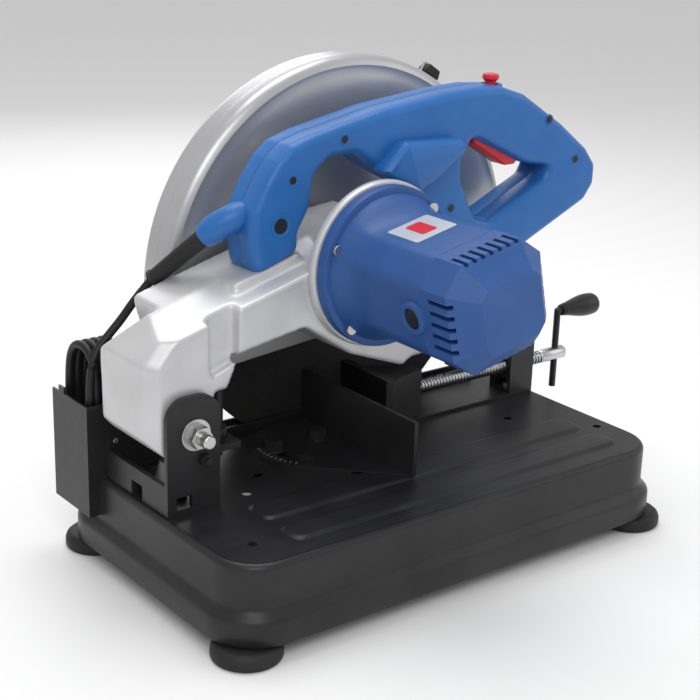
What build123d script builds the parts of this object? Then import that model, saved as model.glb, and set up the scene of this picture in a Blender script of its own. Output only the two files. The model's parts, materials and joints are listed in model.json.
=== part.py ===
"""Abrasive chop saw: pressed base, swing arm, universal motor, guarded wheel, fence and screw vise.

Frame: +X points to the operator's crank end, -Y to the motor side, +Y to the wheel side and +Z up.
The origin lies on the floor under the middle of the base.  The head is stored down on its stop.
"""
from build123d import *
import math
import os

os.makedirs("parts", exist_ok=True)

# ---------------------------------------------------------------- driving dimensions, millimetres
BASE_LENGTH = 500.0
BASE_WIDTH = 298.0
BASE_CORNER = 48.0
BASE_TOP = 84.0
BASE_STEP_IN = 8.0
SKIRT_BOTTOM = 14.0
STEP_LOW = 38.0
STEP_HIGH = 44.0
SHEET = 2.5
LIP_WIDTH = 26.0
FOOT_RADIUS = 30.0

WHEEL_RADIUS = 177.5
WHEEL_THICKNESS = 3.2
WHEEL_Y = 112.0
SLOT_WIDTH = 14.0
GUARD_GAP = 23.5
GUARD_SHEET = 3.0
GUARD_RADIUS = WHEEL_RADIUS + GUARD_GAP + GUARD_SHEET
GUARD_NEAR_Y = 88.0
GUARD_SEAM_Y = 107.0
GUARD_FAR_Y = 130.0

SPINDLE_X = 33.0
SPINDLE_Z = 233.0
GEAR_MODULE = 2.0
PINION_TEETH = 13
GEAR_TEETH = 49
GEAR_WIDTH = 16.0
CENTRE_DISTANCE = GEAR_MODULE * (PINION_TEETH + GEAR_TEETH) / 2
MOTOR_LEAN = 141.5
MOTOR_X = SPINDLE_X + CENTRE_DISTANCE * math.cos(math.radians(MOTOR_LEAN))
MOTOR_Z = SPINDLE_Z + CENTRE_DISTANCE * math.sin(math.radians(MOTOR_LEAN))
MOTOR_HALF_WIDTH = 52.0
MOTOR_HALF_HEIGHT = 49.0
MOTOR_BORE = 44.0
FLANGE_RADIUS = 72.0
MOTOR_ROLL = 13.0
MOTOR_FLANGE_Y = -22.0
CAP_JOINT_Y = -140.0
CAP_END_Y = -190.0

PIVOT_X = -209.0
PIVOT_Z = 154.0
PIVOT_RADIUS = 6.0
BRACKET_NEAR_Y = -22.0
BRACKET_FAR_Y = 84.0
BRACKET_PLATE = 5.0
BRACKET_WIDTH = 52.0
ARM_GAP = 3.0
ARM_NEAR_Y = BRACKET_NEAR_Y + BRACKET_PLATE + ARM_GAP
ARM_FAR_Y = BRACKET_FAR_Y - BRACKET_PLATE - ARM_GAP

FENCE_HEIGHT = 54.0
FENCE_PLATE = 4.0
FENCE_FACE_X = -9.0
FENCE_NEAR_Y = -73.0
FENCE_FAR_Y = 97.0
FENCE_PIVOT = (-34.0, 42.0)
FENCE_SLOT_RADIUS = 50.0
FENCE_SWING = 45.0
FENCE_BOLT_RADIUS = 5.0

VISE_Y = 49.0
VISE_Z = 113.0
SCREW_RADIUS = 7.0
JAW_FACE_X = 30.0
JAW_END_X = 88.0
JAW_TOP = 140.0
POST_X0 = 206.0
POST_X1 = 238.0
CRANK_X = 284.0
CRANK_REACH = 47.0
RAIL_PLATE = 3.0

HANDLE_NEAR_Y = 5.0
HANDLE_MID_Y = 28.0
HANDLE_FAR_Y = 51.0

CORD_RADIUS = 3.8
RUNNING = 0.05
CLEAR = 0.3


# ---------------------------------------------------------------- shared shapes
def side_plane(y):
    """Sketch plane whose local axes are X and Z, at the given y; extrusions from it run towards -Y."""
    return Plane.XZ.offset(-y)


def y_disc(x, z, y0, y1, radius, mode=Mode.ADD):
    """Cylinder along Y between y0 and y1."""
    with BuildSketch(side_plane(y1)) as profile:
        with Locations((x, z)):
            Circle(radius)
    extrude(profile.sketch, amount=y1 - y0, mode=mode)


def y_hex(x, z, y0, y1, across, mode=Mode.ADD):
    """Hexagonal prism along Y, sized across its flats."""
    with BuildSketch(side_plane(y1)) as profile:
        with Locations((x, z)):
            RegularPolygon(across / 2, 6, major_radius=False)
    extrude(profile.sketch, amount=y1 - y0, mode=mode)


def y_prism(points, y0, y1, mode=Mode.ADD):
    """Prism along Y with the given X, Z outline."""
    with BuildSketch(side_plane(y1)) as profile:
        with BuildLine():
            Polyline(*points, close=True)
        make_face()
    extrude(profile.sketch, amount=y1 - y0, mode=mode)


def x_disc(y, z, x0, x1, radius, mode=Mode.ADD):
    """Cylinder along X between x0 and x1."""
    with BuildSketch(Plane.YZ.offset(x0)) as profile:
        with Locations((y, z)):
            Circle(radius)
    extrude(profile.sketch, amount=x1 - x0, mode=mode)


def x_prism(points, x0, x1, mode=Mode.ADD):
    """Prism along X with the given Y, Z outline."""
    with BuildSketch(Plane.YZ.offset(x0)) as profile:
        with BuildLine():
            Polyline(*points, close=True)
        make_face()
    extrude(profile.sketch, amount=x1 - x0, mode=mode)


def z_disc(x, y, z0, z1, radius, mode=Mode.ADD):
    """Cylinder along Z between z0 and z1."""
    with BuildSketch(Plane.XY.offset(z0)) as profile:
        with Locations((x, y)):
            Circle(radius)
    extrude(profile.sketch, amount=z1 - z0, mode=mode)


def z_hex(x, y, z0, z1, across, mode=Mode.ADD):
    """Hexagonal prism along Z, sized across its flats."""
    with BuildSketch(Plane.XY.offset(z0)) as profile:
        with Locations((x, y)):
            RegularPolygon(across / 2, 6, major_radius=False)
    extrude(profile.sketch, amount=z1 - z0, mode=mode)


def block(low, high, mode=Mode.ADD):
    """Box between two opposite corners."""
    with BuildSketch(Plane.XY.offset(low[2])) as profile:
        with Locations(((low[0] + high[0]) / 2, (low[1] + high[1]) / 2)):
            Rectangle(high[0] - low[0], high[1] - low[1])
    extrude(profile.sketch, amount=high[2] - low[2], mode=mode)


def polar(x, z, radius, degrees):
    """Point at a radius and an angle, measured from +X towards +Z, about x, z."""
    turn = math.radians(degrees)
    return (x + radius * math.cos(turn), z + radius * math.sin(turn))


# ---------------------------------------------------------------- base pan
def rounded_plate(inset, z):
    """Plan outline of the base, drawn in by inset, at height z."""
    with BuildSketch(Plane.XY.offset(z)) as profile:
        RectangleRounded(BASE_LENGTH - 2 * inset, BASE_WIDTH - 2 * inset, BASE_CORNER - inset)
    return profile.sketch


def pan_body(inset, bottom, top, mode):
    """Stepped body of the pan; with an inset and mode SUBTRACT it is the hollow of the pressing."""
    drop = inset * 0.4
    lower = STEP_LOW - drop
    upper = STEP_HIGH - drop
    extrude(rounded_plate(inset, bottom), amount=lower - bottom, mode=mode)
    loft([rounded_plate(inset, lower), rounded_plate(inset + BASE_STEP_IN, upper)], mode=mode)
    extrude(rounded_plate(inset + BASE_STEP_IN, upper), amount=top - upper, mode=mode)


FOOT_SPOTS = [
    (sx * (BASE_LENGTH / 2 - FOOT_RADIUS + 4), sy * (BASE_WIDTH / 2 - FOOT_RADIUS + 4))
    for sx in (-1, 1)
    for sy in (-1, 1)
]
RIBS = ((19.0, -55.0, 378.0, 34.0), (19.0, -102.0, 380.0, 30.0))
TOP_HOLES = ((-153.0, -16.0), (-204.0, -100.0), (222.0, -75.0), (188.0, -111.0), (163.0, -10.0), (-122.0, 12.0))
WHEEL_SLOT_X = (SPINDLE_X - WHEEL_RADIUS * 0.82, SPINDLE_X + WHEEL_RADIUS * 0.82)
BRACKET_X0 = PIVOT_X - BRACKET_WIDTH / 2 - 1
BRACKET_X1 = BRACKET_X0 + BRACKET_WIDTH
BRACKET_BOLTS = [(PIVOT_X, BRACKET_NEAR_Y + 26), (PIVOT_X, BRACKET_FAR_Y - 26)]
FENCE_CLAMP = (FENCE_PIVOT[0] - FENCE_SLOT_RADIUS, FENCE_PIVOT[1])
POST_BOLTS = [(POST_X0 + 7, VISE_Y - 5), (POST_X1 - 12, VISE_Y + 5)]

with BuildPart() as base_pan:
    pan_body(0, SKIRT_BOTTOM, BASE_TOP, Mode.ADD)
    fillet(base_pan.faces().sort_by(Axis.Z)[-1].edges(), 6)
    pan_body(SHEET, SKIRT_BOTTOM + SHEET, BASE_TOP - 8, Mode.SUBTRACT)
    loft([rounded_plate(BASE_STEP_IN + SHEET, BASE_TOP - 8),
          rounded_plate(BASE_STEP_IN + SHEET + 5, BASE_TOP - SHEET)], mode=Mode.SUBTRACT)
    extrude(rounded_plate(LIP_WIDTH, SKIRT_BOTTOM), amount=SHEET, mode=Mode.SUBTRACT)
    for centre_x, centre_y, length, width in RIBS:
        with BuildSketch(Plane.XY.offset(BASE_TOP)):
            with Locations((centre_x, centre_y)):
                RectangleRounded(length, width, 12)
        extrude(amount=2.2, taper=40)
    block((WHEEL_SLOT_X[0], WHEEL_Y - SLOT_WIDTH / 2, BASE_TOP - 10),
          (WHEEL_SLOT_X[1], WHEEL_Y + SLOT_WIDTH / 2, BASE_TOP + 5), Mode.SUBTRACT)
    for hole_x, hole_y in TOP_HOLES:
        z_disc(hole_x, hole_y, BASE_TOP - 10, BASE_TOP + 5, 4.0, Mode.SUBTRACT)
    for hole_x, hole_y in BRACKET_BOLTS + POST_BOLTS:
        z_disc(hole_x, hole_y, BASE_TOP - 10, BASE_TOP + 5, 4.2, Mode.SUBTRACT)
    for hole_x, hole_y in (FENCE_PIVOT, FENCE_CLAMP):
        z_disc(hole_x, hole_y, BASE_TOP - 10, BASE_TOP + 5, FENCE_BOLT_RADIUS + 0.2, Mode.SUBTRACT)
    for foot_x, foot_y in FOOT_SPOTS:
        z_disc(foot_x, foot_y, SKIRT_BOTTOM - 1, SKIRT_BOTTOM + 5, 3.4, Mode.SUBTRACT)
base_pan.part.label = "base_pan"
export_step(base_pan.part, "parts/base_pan.step")

with BuildPart() as rubber_feet:
    for foot_x, foot_y in FOOT_SPOTS:
        z_disc(foot_x, foot_y, 0, SKIRT_BOTTOM, FOOT_RADIUS)
        z_disc(foot_x, foot_y, 0, 8, 9, Mode.SUBTRACT)
        z_disc(foot_x, foot_y, 0, SKIRT_BOTTOM, 3.4, Mode.SUBTRACT)
    chamfer(rubber_feet.edges().filter_by(GeomType.CIRCLE).filter_by(
        lambda edge: edge.radius > FOOT_RADIUS - 1 and edge.center().Z < 1), 2)
rubber_feet.part.label = "rubber_feet"
export_step(rubber_feet.part, "parts/rubber_feet.step")

with BuildPart() as foot_screws:
    for foot_x, foot_y in FOOT_SPOTS:
        z_disc(foot_x, foot_y, 4, 8, 7)
        z_disc(foot_x, foot_y, 8, SKIRT_BOTTOM + SHEET + 8, 3)
        z_hex(foot_x, foot_y, SKIRT_BOTTOM + SHEET, SKIRT_BOTTOM + SHEET + 5, 10)
foot_screws.part.label = "foot_screws"
export_step(foot_screws.part, "parts/foot_screws.step")

with BuildPart() as slot_rails:
    for rail_y in (WHEEL_Y - SLOT_WIDTH / 2 - 3.5, WHEEL_Y + SLOT_WIDTH / 2 + 0.5):
        block((-138, rail_y, BASE_TOP), (215, rail_y + 3, BASE_TOP + 9))
slot_rails.part.label = "slot_rails"
export_step(slot_rails.part, "parts/slot_rails.step")

# ---------------------------------------------------------------- pivot bracket and its fasteners
EAR_CORNER = 20.0
with BuildPart() as pivot_bracket:
    ear_top = PIVOT_Z + 34
    for ear_y in (BRACKET_NEAR_Y, BRACKET_FAR_Y - BRACKET_PLATE):
        y_prism([(BRACKET_X0, BASE_TOP), (BRACKET_X1, BASE_TOP), (BRACKET_X1, ear_top), (BRACKET_X0, ear_top)],
                ear_y, ear_y + BRACKET_PLATE)
    fillet(pivot_bracket.edges().filter_by(Axis.Y).filter_by(lambda edge: edge.center().Z > ear_top - 1), EAR_CORNER)
    block((BRACKET_X0, BRACKET_NEAR_Y, BASE_TOP), (BRACKET_X1, BRACKET_FAR_Y, BASE_TOP + BRACKET_PLATE))
    block((BRACKET_X0, BRACKET_NEAR_Y, BASE_TOP), (BRACKET_X0 + BRACKET_PLATE, BRACKET_FAR_Y, BASE_TOP + 27))
    block((BRACKET_X0 - 1, 20, BASE_TOP - 1), (BRACKET_X0 + 9, 38, BASE_TOP + 14), Mode.SUBTRACT)
    block((BRACKET_X0 + 9, BRACKET_NEAR_Y - 1, BASE_TOP + BRACKET_PLATE),
          (BRACKET_X0 + 24, BRACKET_NEAR_Y + BRACKET_PLATE + 1, BASE_TOP + 16), Mode.SUBTRACT)
    block((BRACKET_X1 - 3, -17, 130), (BRACKET_X1 + 24, 18, 136))
    y_disc(PIVOT_X, PIVOT_Z, BRACKET_NEAR_Y - 1, BRACKET_FAR_Y + 1, PIVOT_RADIUS + RUNNING, Mode.SUBTRACT)
    y_disc(PIVOT_X + 9, 130, BRACKET_NEAR_Y - 1, BRACKET_NEAR_Y + BRACKET_PLATE + 1, 3.1, Mode.SUBTRACT)
    z_disc(BRACKET_X1 + 14, 5, 129, 137, 5.1, Mode.SUBTRACT)
    for hole_x, hole_y in BRACKET_BOLTS:
        z_disc(hole_x, hole_y, BASE_TOP - 1, BASE_TOP + 8, 4.2, Mode.SUBTRACT)
    for hole_z in (BASE_TOP + 12, 118):
        y_disc(BRACKET_X0 + 8, hole_z, BRACKET_FAR_Y - 8, BRACKET_FAR_Y + 1, 2.6, Mode.SUBTRACT)
pivot_bracket.part.label = "pivot_bracket"
export_step(pivot_bracket.part, "parts/pivot_bracket.step")

with BuildPart() as bracket_bolts:
    for bolt_x, bolt_y in BRACKET_BOLTS:
        z_disc(bolt_x, bolt_y, BASE_TOP - 14, BASE_TOP + BRACKET_PLATE + 2, 4)
        z_hex(bolt_x, bolt_y, BASE_TOP + BRACKET_PLATE, BASE_TOP + BRACKET_PLATE + 6, 13)
        z_hex(bolt_x, bolt_y, BASE_TOP - SHEET - 7, BASE_TOP - SHEET, 13)
bracket_bolts.part.label = "bracket_bolts"
export_step(bracket_bolts.part, "parts/bracket_bolts.step")

with BuildPart() as pivot_bolt:
    y_disc(PIVOT_X, PIVOT_Z, BRACKET_NEAR_Y - 24, BRACKET_FAR_Y + 2, PIVOT_RADIUS)
    y_hex(PIVOT_X, PIVOT_Z, BRACKET_FAR_Y, BRACKET_FAR_Y + 5, 18)
    chamfer(pivot_bolt.faces().sort_by(Axis.Y)[0].edges(), 1)
pivot_bolt.part.label = "pivot_bolt"
export_step(pivot_bolt.part, "parts/pivot_bolt.step")

with BuildPart() as pivot_nut:
    y_disc(PIVOT_X, PIVOT_Z, BRACKET_NEAR_Y - 2.5, BRACKET_NEAR_Y, 14)
    y_hex(PIVOT_X, PIVOT_Z, BRACKET_NEAR_Y - 12, BRACKET_NEAR_Y - 2.5, 18)
    y_disc(PIVOT_X, PIVOT_Z, BRACKET_NEAR_Y - 13, BRACKET_NEAR_Y, PIVOT_RADIUS, Mode.SUBTRACT)
pivot_nut.part.label = "pivot_nut"
export_step(pivot_nut.part, "parts/pivot_nut.step")

with BuildPart() as thrust_washers:
    for washer_y in (ARM_NEAR_Y - ARM_GAP, ARM_FAR_Y + 0.3):
        y_disc(PIVOT_X, PIVOT_Z, washer_y, washer_y + ARM_GAP - 0.3, 13)
    y_disc(PIVOT_X, PIVOT_Z, BRACKET_NEAR_Y, BRACKET_FAR_Y, PIVOT_RADIUS + RUNNING, Mode.SUBTRACT)
thrust_washers.part.label = "thrust_washers"
export_step(thrust_washers.part, "parts/thrust_washers.step")

HUB_RADIUS = 12.0
SPRING_Y = (12.0, 50.0)
with BuildPart() as return_spring:
    y_disc(PIVOT_X, PIVOT_Z, SPRING_Y[0], SPRING_Y[1], HUB_RADIUS + 5.2)
    y_disc(PIVOT_X, PIVOT_Z, SPRING_Y[0], SPRING_Y[1], HUB_RADIUS + 1.5, Mode.SUBTRACT)
return_spring.part.label = "return_spring"
export_step(return_spring.part, "parts/return_spring.step")

with BuildPart() as spring_pin:
    y_disc(PIVOT_X + 9, 130, BRACKET_NEAR_Y - 9, BRACKET_NEAR_Y + BRACKET_PLATE, 3)
    y_hex(PIVOT_X + 9, 130, BRACKET_NEAR_Y - 5, BRACKET_NEAR_Y, 10)
spring_pin.part.label = "spring_pin"
export_step(spring_pin.part, "parts/spring_pin.step")

STOP_X = BRACKET_X1 + 14
STOP_TOP = 183.0
with BuildPart() as stop_bolt:
    z_disc(STOP_X, 5, 118, STOP_TOP, 5)
    z_disc(STOP_X, 5, STOP_TOP - 5, STOP_TOP, 7)
    z_hex(STOP_X, 5, 136, 144, 16)
stop_bolt.part.label = "stop_bolt"
export_step(stop_bolt.part, "parts/stop_bolt.step")

# ---------------------------------------------------------------- spark deflector behind the wheel
DEFLECTOR_X = -BASE_LENGTH / 2 - 3
DEFLECTOR_Y = (BRACKET_FAR_Y, 148.0)
DEFLECTOR_Z = (48.0, 152.0)
with BuildPart() as spark_deflector:
    block((DEFLECTOR_X, DEFLECTOR_Y[0], DEFLECTOR_Z[0]), (DEFLECTOR_X + 2, DEFLECTOR_Y[1], DEFLECTOR_Z[1]))
    block((DEFLECTOR_X, DEFLECTOR_Y[0], DEFLECTOR_Z[0]),
          (-BASE_LENGTH / 2 + BASE_STEP_IN - 0.5, DEFLECTOR_Y[0] + 2, DEFLECTOR_Z[1]))
    block((DEFLECTOR_X, DEFLECTOR_Y[0], BASE_TOP + 1), (BRACKET_X0 + 14, DEFLECTOR_Y[0] + 2, DEFLECTOR_Z[1]))
    block((DEFLECTOR_X, DEFLECTOR_Y[1] - 22, DEFLECTOR_Z[1] - 1),
          (DEFLECTOR_X + 2, DEFLECTOR_Y[1] - 12, DEFLECTOR_Z[1] + 6))
    for hole_z in (BASE_TOP + 12, 118):
        y_disc(BRACKET_X0 + 8, hole_z, DEFLECTOR_Y[0] - 1, DEFLECTOR_Y[0] + 3, 2.6, Mode.SUBTRACT)
spark_deflector.part.label = "spark_deflector"
export_step(spark_deflector.part, "parts/spark_deflector.step")

with BuildPart() as deflector_screws:
    for hole_z in (BASE_TOP + 12, 118):
        y_disc(BRACKET_X0 + 8, hole_z, BRACKET_FAR_Y - BRACKET_PLATE - 1, DEFLECTOR_Y[0] + 2, 2.5)
        y_disc(BRACKET_X0 + 8, hole_z, DEFLECTOR_Y[0] + 2, DEFLECTOR_Y[0] + 5, 4.5)
deflector_screws.part.label = "deflector_screws"
export_step(deflector_screws.part, "parts/deflector_screws.step")

# ---------------------------------------------------------------- fence with its angle quadrant
FLANGE_TOP = BASE_TOP + 4
FENCE_TOP = BASE_TOP + FENCE_HEIGHT
QUADRANT_RIM = [polar(*FENCE_PIVOT, FENCE_SLOT_RADIUS + 8.5, turn) for turn in range(92, 141, 8)]
QUADRANT_RIM += [polar(*FENCE_PIVOT, FENCE_SLOT_RADIUS + 10.5 + (turn - 150) * 0.3, turn) for turn in (150, 160, 170)]
QUADRANT_RIM += [polar(*FENCE_PIVOT, FENCE_SLOT_RADIUS + 17.5, turn) for turn in (180, 190, 200, 208)]
with BuildPart() as fence_plate:
    with BuildSketch(Plane.XY.offset(BASE_TOP)):
        with BuildLine():
            Polyline((FENCE_FACE_X, FENCE_NEAR_Y), (FENCE_FACE_X, FENCE_FAR_Y), (FENCE_FACE_X - 3, FENCE_FAR_Y),
                     *QUADRANT_RIM, (FENCE_FACE_X - FENCE_PLATE, FENCE_NEAR_Y), close=True)
        make_face()
    extrude(amount=4)
    block((FENCE_FACE_X - FENCE_PLATE, FENCE_NEAR_Y, BASE_TOP), (FENCE_FACE_X, FENCE_FAR_Y, FENCE_TOP))
    block((FENCE_FACE_X - 80, FENCE_NEAR_Y - 1, BASE_TOP - 1), (FENCE_FACE_X + 1, -33, BASE_TOP + 2.6), Mode.SUBTRACT)
    z_disc(FENCE_PIVOT[0], FENCE_PIVOT[1], BASE_TOP - 1, FLANGE_TOP + 1, FENCE_BOLT_RADIUS + RUNNING, Mode.SUBTRACT)
    with BuildSketch(Plane.XY.offset(BASE_TOP - 1)):
        with BuildLine():
            CenterArc(FENCE_PIVOT, FENCE_SLOT_RADIUS + 5.4, 172, FENCE_SWING + 16)
            CenterArc(FENCE_PIVOT, FENCE_SLOT_RADIUS - 5.4, 172, FENCE_SWING + 16)
            for end in (172, 188 + FENCE_SWING):
                Line(polar(*FENCE_PIVOT, FENCE_SLOT_RADIUS - 5.4, end), polar(*FENCE_PIVOT, FENCE_SLOT_RADIUS + 5.4, end))
        make_face()
    extrude(amount=6, mode=Mode.SUBTRACT)
fence_plate.part.label = "fence_plate"
export_step(fence_plate.part, "parts/fence_plate.step")

with BuildPart() as fence_bolts:
    for bolt_x, bolt_y in (FENCE_PIVOT, FENCE_CLAMP):
        z_disc(bolt_x, bolt_y, BASE_TOP - 14, FLANGE_TOP + 4, FENCE_BOLT_RADIUS)
        z_disc(bolt_x, bolt_y, FLANGE_TOP + CLEAR, FLANGE_TOP + 2.5, 10)
        z_hex(bolt_x, bolt_y, FLANGE_TOP + 2.5, FLANGE_TOP + 11, 16)
        z_hex(bolt_x, bolt_y, BASE_TOP - SHEET - 8, BASE_TOP - SHEET, 16)
fence_bolts.part.label = "fence_bolts"
export_step(fence_bolts.part, "parts/fence_bolts.step")

# ---------------------------------------------------------------- vise
with BuildPart() as vise_rail:
    block((64, VISE_Y - 15, BASE_TOP), (POST_X1, VISE_Y + 15, BASE_TOP + RAIL_PLATE))
    for hole_x, hole_y in POST_BOLTS:
        z_disc(hole_x, hole_y, BASE_TOP - 1, BASE_TOP + 8, 4.2, Mode.SUBTRACT)
vise_rail.part.label = "vise_rail"
export_step(vise_rail.part, "parts/vise_rail.step")

POST_FOOT = BASE_TOP + RAIL_PLATE
POST_TOP = 150.0
LEVER_X = POST_X0 + 16
LEVER_Z = 141.0
with BuildPart() as vise_post:
    block((POST_X0, VISE_Y - 15, POST_FOOT), (POST_X1, VISE_Y + 15, POST_FOOT + 4))
    for wall_y in (VISE_Y - 15, VISE_Y + 11):
        block((POST_X0, wall_y, POST_FOOT), (POST_X1, wall_y + 4, POST_TOP))
    fillet(vise_post.edges().filter_by(Axis.Y).filter_by(lambda edge: edge.center().Z > POST_TOP - 1), 6)
    y_disc(LEVER_X, LEVER_Z, VISE_Y - 16, VISE_Y + 16, 4 + RUNNING, Mode.SUBTRACT)
    for hole_x, hole_y in POST_BOLTS:
        z_disc(hole_x, hole_y, POST_FOOT - 1, POST_FOOT + 8, 4.2, Mode.SUBTRACT)
vise_post.part.label = "vise_post"
export_step(vise_post.part, "parts/vise_post.step")

with BuildPart() as post_bolts:
    for bolt_x, bolt_y in POST_BOLTS:
        z_disc(bolt_x, bolt_y, BASE_TOP - 12, POST_FOOT + 5, 4)
        z_hex(bolt_x, bolt_y, POST_FOOT + 4, POST_FOOT + 8, 10)
        z_hex(bolt_x, bolt_y, BASE_TOP - SHEET - 6, BASE_TOP - SHEET, 13)
post_bolts.part.label = "post_bolts"
export_step(post_bolts.part, "parts/post_bolts.step")

with BuildPart() as nut_block:
    block((POST_X0 + 1, VISE_Y - 11, VISE_Z - 12), (POST_X1 - 1, VISE_Y + 11, VISE_Z + 12))
    x_disc(VISE_Y, VISE_Z, POST_X0, POST_X1, SCREW_RADIUS + RUNNING, Mode.SUBTRACT)
nut_block.part.label = "nut_block"
export_step(nut_block.part, "parts/nut_block.step")

with BuildPart() as release_lever:
    y_disc(LEVER_X, LEVER_Z, VISE_Y - 18, VISE_Y + 18, 4)
    y_disc(LEVER_X, LEVER_Z, VISE_Y - 5, VISE_Y + 5, 9)
    y_prism([(132, 128), (146, 126), (LEVER_X, LEVER_Z - 8), (LEVER_X, LEVER_Z + 6), (146, 136), (140, 146), (132, 146)],
            VISE_Y - 5, VISE_Y + 5)
release_lever.part.label = "release_lever"
export_step(release_lever.part, "parts/release_lever.step")

JOURNAL = 5.0
with BuildPart() as vise_jaw:
    block((JAW_FACE_X, 20, POST_FOOT + CLEAR), (JAW_FACE_X + 9, 92, JAW_TOP))
    with BuildSketch(Plane.XY.offset(POST_FOOT + CLEAR)):
        with BuildLine():
            Polyline((JAW_FACE_X + 8, 24), (JAW_END_X - 14, VISE_Y - 14), (JAW_END_X, VISE_Y - 12),
                     (JAW_END_X, VISE_Y + 12), (JAW_END_X - 14, VISE_Y + 14), (JAW_FACE_X + 8, 84), close=True)
        make_face()
    extrude(amount=VISE_Z + 22 - POST_FOOT)
    x_disc(VISE_Y, VISE_Z, JAW_END_X - 32, JAW_END_X + 1, JOURNAL + RUNNING, Mode.SUBTRACT)
vise_jaw.part.label = "vise_jaw"
export_step(vise_jaw.part, "parts/vise_jaw.step")

with BuildPart() as vise_screw:
    x_disc(VISE_Y, VISE_Z, JAW_END_X - 30, JAW_END_X + 2, JOURNAL)
    x_disc(VISE_Y, VISE_Z, JAW_END_X + CLEAR, CRANK_X + 12, SCREW_RADIUS)
    z_disc(CRANK_X, VISE_Y, VISE_Z - 10, VISE_Z + 10, 3.5, Mode.SUBTRACT)
    chamfer(vise_screw.faces().sort_by(Axis.X)[-1].edges(), 1.5)
vise_screw.part.label = "vise_screw"
export_step(vise_screw.part, "parts/vise_screw.step")

KNOB_Z = VISE_Z + CRANK_REACH
with BuildPart() as crank_bar:
    z_disc(CRANK_X, VISE_Y, VISE_Z - 37, KNOB_Z, 3.5)
    x_disc(VISE_Y, KNOB_Z, CRANK_X, CRANK_X + 18, 3.5)
    with Locations((CRANK_X, VISE_Y, KNOB_Z)):
        Sphere(3.5)
    x_disc(VISE_Y, KNOB_Z, CRANK_X + 5, CRANK_X + 8, 6)
crank_bar.part.label = "crank_bar"
export_step(crank_bar.part, "parts/crank_bar.step")

with BuildPart() as crank_knob:
    with BuildSketch(Plane.XZ.offset(-VISE_Y)):
        with BuildLine():
            knob_start = (CRANK_X + 8, KNOB_Z)
            Line(knob_start, (CRANK_X + 8, KNOB_Z + 7))
            Spline((CRANK_X + 8, KNOB_Z + 7), (CRANK_X + 34, KNOB_Z + 12.5), (CRANK_X + 54, KNOB_Z + 8.5),
                   (CRANK_X + 58, KNOB_Z))
            Line((CRANK_X + 58, KNOB_Z), knob_start)
        make_face()
    revolve(axis=Axis((CRANK_X, VISE_Y, KNOB_Z), (1, 0, 0)))
    x_disc(VISE_Y, KNOB_Z, CRANK_X + 7, CRANK_X + 18, 3.5, Mode.SUBTRACT)
crank_knob.part.label = "crank_knob"
export_step(crank_knob.part, "parts/crank_knob.step")

# ---------------------------------------------------------------- swing arm casting
GEAR_OUTER = GEAR_MODULE * (GEAR_TEETH + 2) / 2
PINION_OUTER = GEAR_MODULE * (PINION_TEETH + 2) / 2
GEAR_Y = (12.0, 12.0 + GEAR_WIDTH)
ARM_TOP_LINE = ((-212.0, 250.0), (-59.0, 293.0))
ARM_OUTLINE = [
    (-208, 128), (-232, 134), (-248, 150), (-249, 215), (-221, 249), *ARM_TOP_LINE, (-40, 303), (0, 308),
    (40, 290), (76, 262), (76, 200), (20, 168), (-40, 190), (-91, 224), (-159, 212), (-171, 183.3), (-184, 183.3),
    (-190, 140),
]
REAR_CAVITY = [(-200, 110), (-240, 152), (-241, 206), (-219, 224), (-172, 233), (-172, 214), (-186, 196), (-191, 150)]
BEAM_CAVITY = [(-150, 190), (-150, 243), (-75, 262), (-75, 190)]
SADDLE = [(-152, 240), (-152, 266.9), (-84, 286), (-84, 240)]
GUARD_BOSS = 46.0
BEARING_35 = 17.5
BEARING_32 = 16.0
BEARING_26 = 13.0


def arm_top_cut(width, drop, from_near):
    """Bevel along the top of the arm: width is measured along Y and drop along the face."""
    (x0, z0), (x1, z1) = ARM_TOP_LINE
    run = math.hypot(x1 - x0, z1 - z0)
    along = ((x1 - x0) / run, 0, (z1 - z0) / run)
    edge_y = ARM_NEAR_Y if from_near else ARM_FAR_Y
    inward = 1 if from_near else -1
    cut_plane = Plane(origin=(x0, edge_y, z0), x_dir=(0, 1, 0), z_dir=along)
    with BuildSketch(cut_plane.offset(-120)) as profile:
        with BuildLine():
            Polyline((-inward * 2, -drop), (0, -drop), (inward * width, 0), (inward * width, 60),
                     (-inward * 2, 60), close=True)
        make_face()
    extrude(profile.sketch, amount=120 + run + (0 if from_near else -run), mode=Mode.SUBTRACT)


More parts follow.
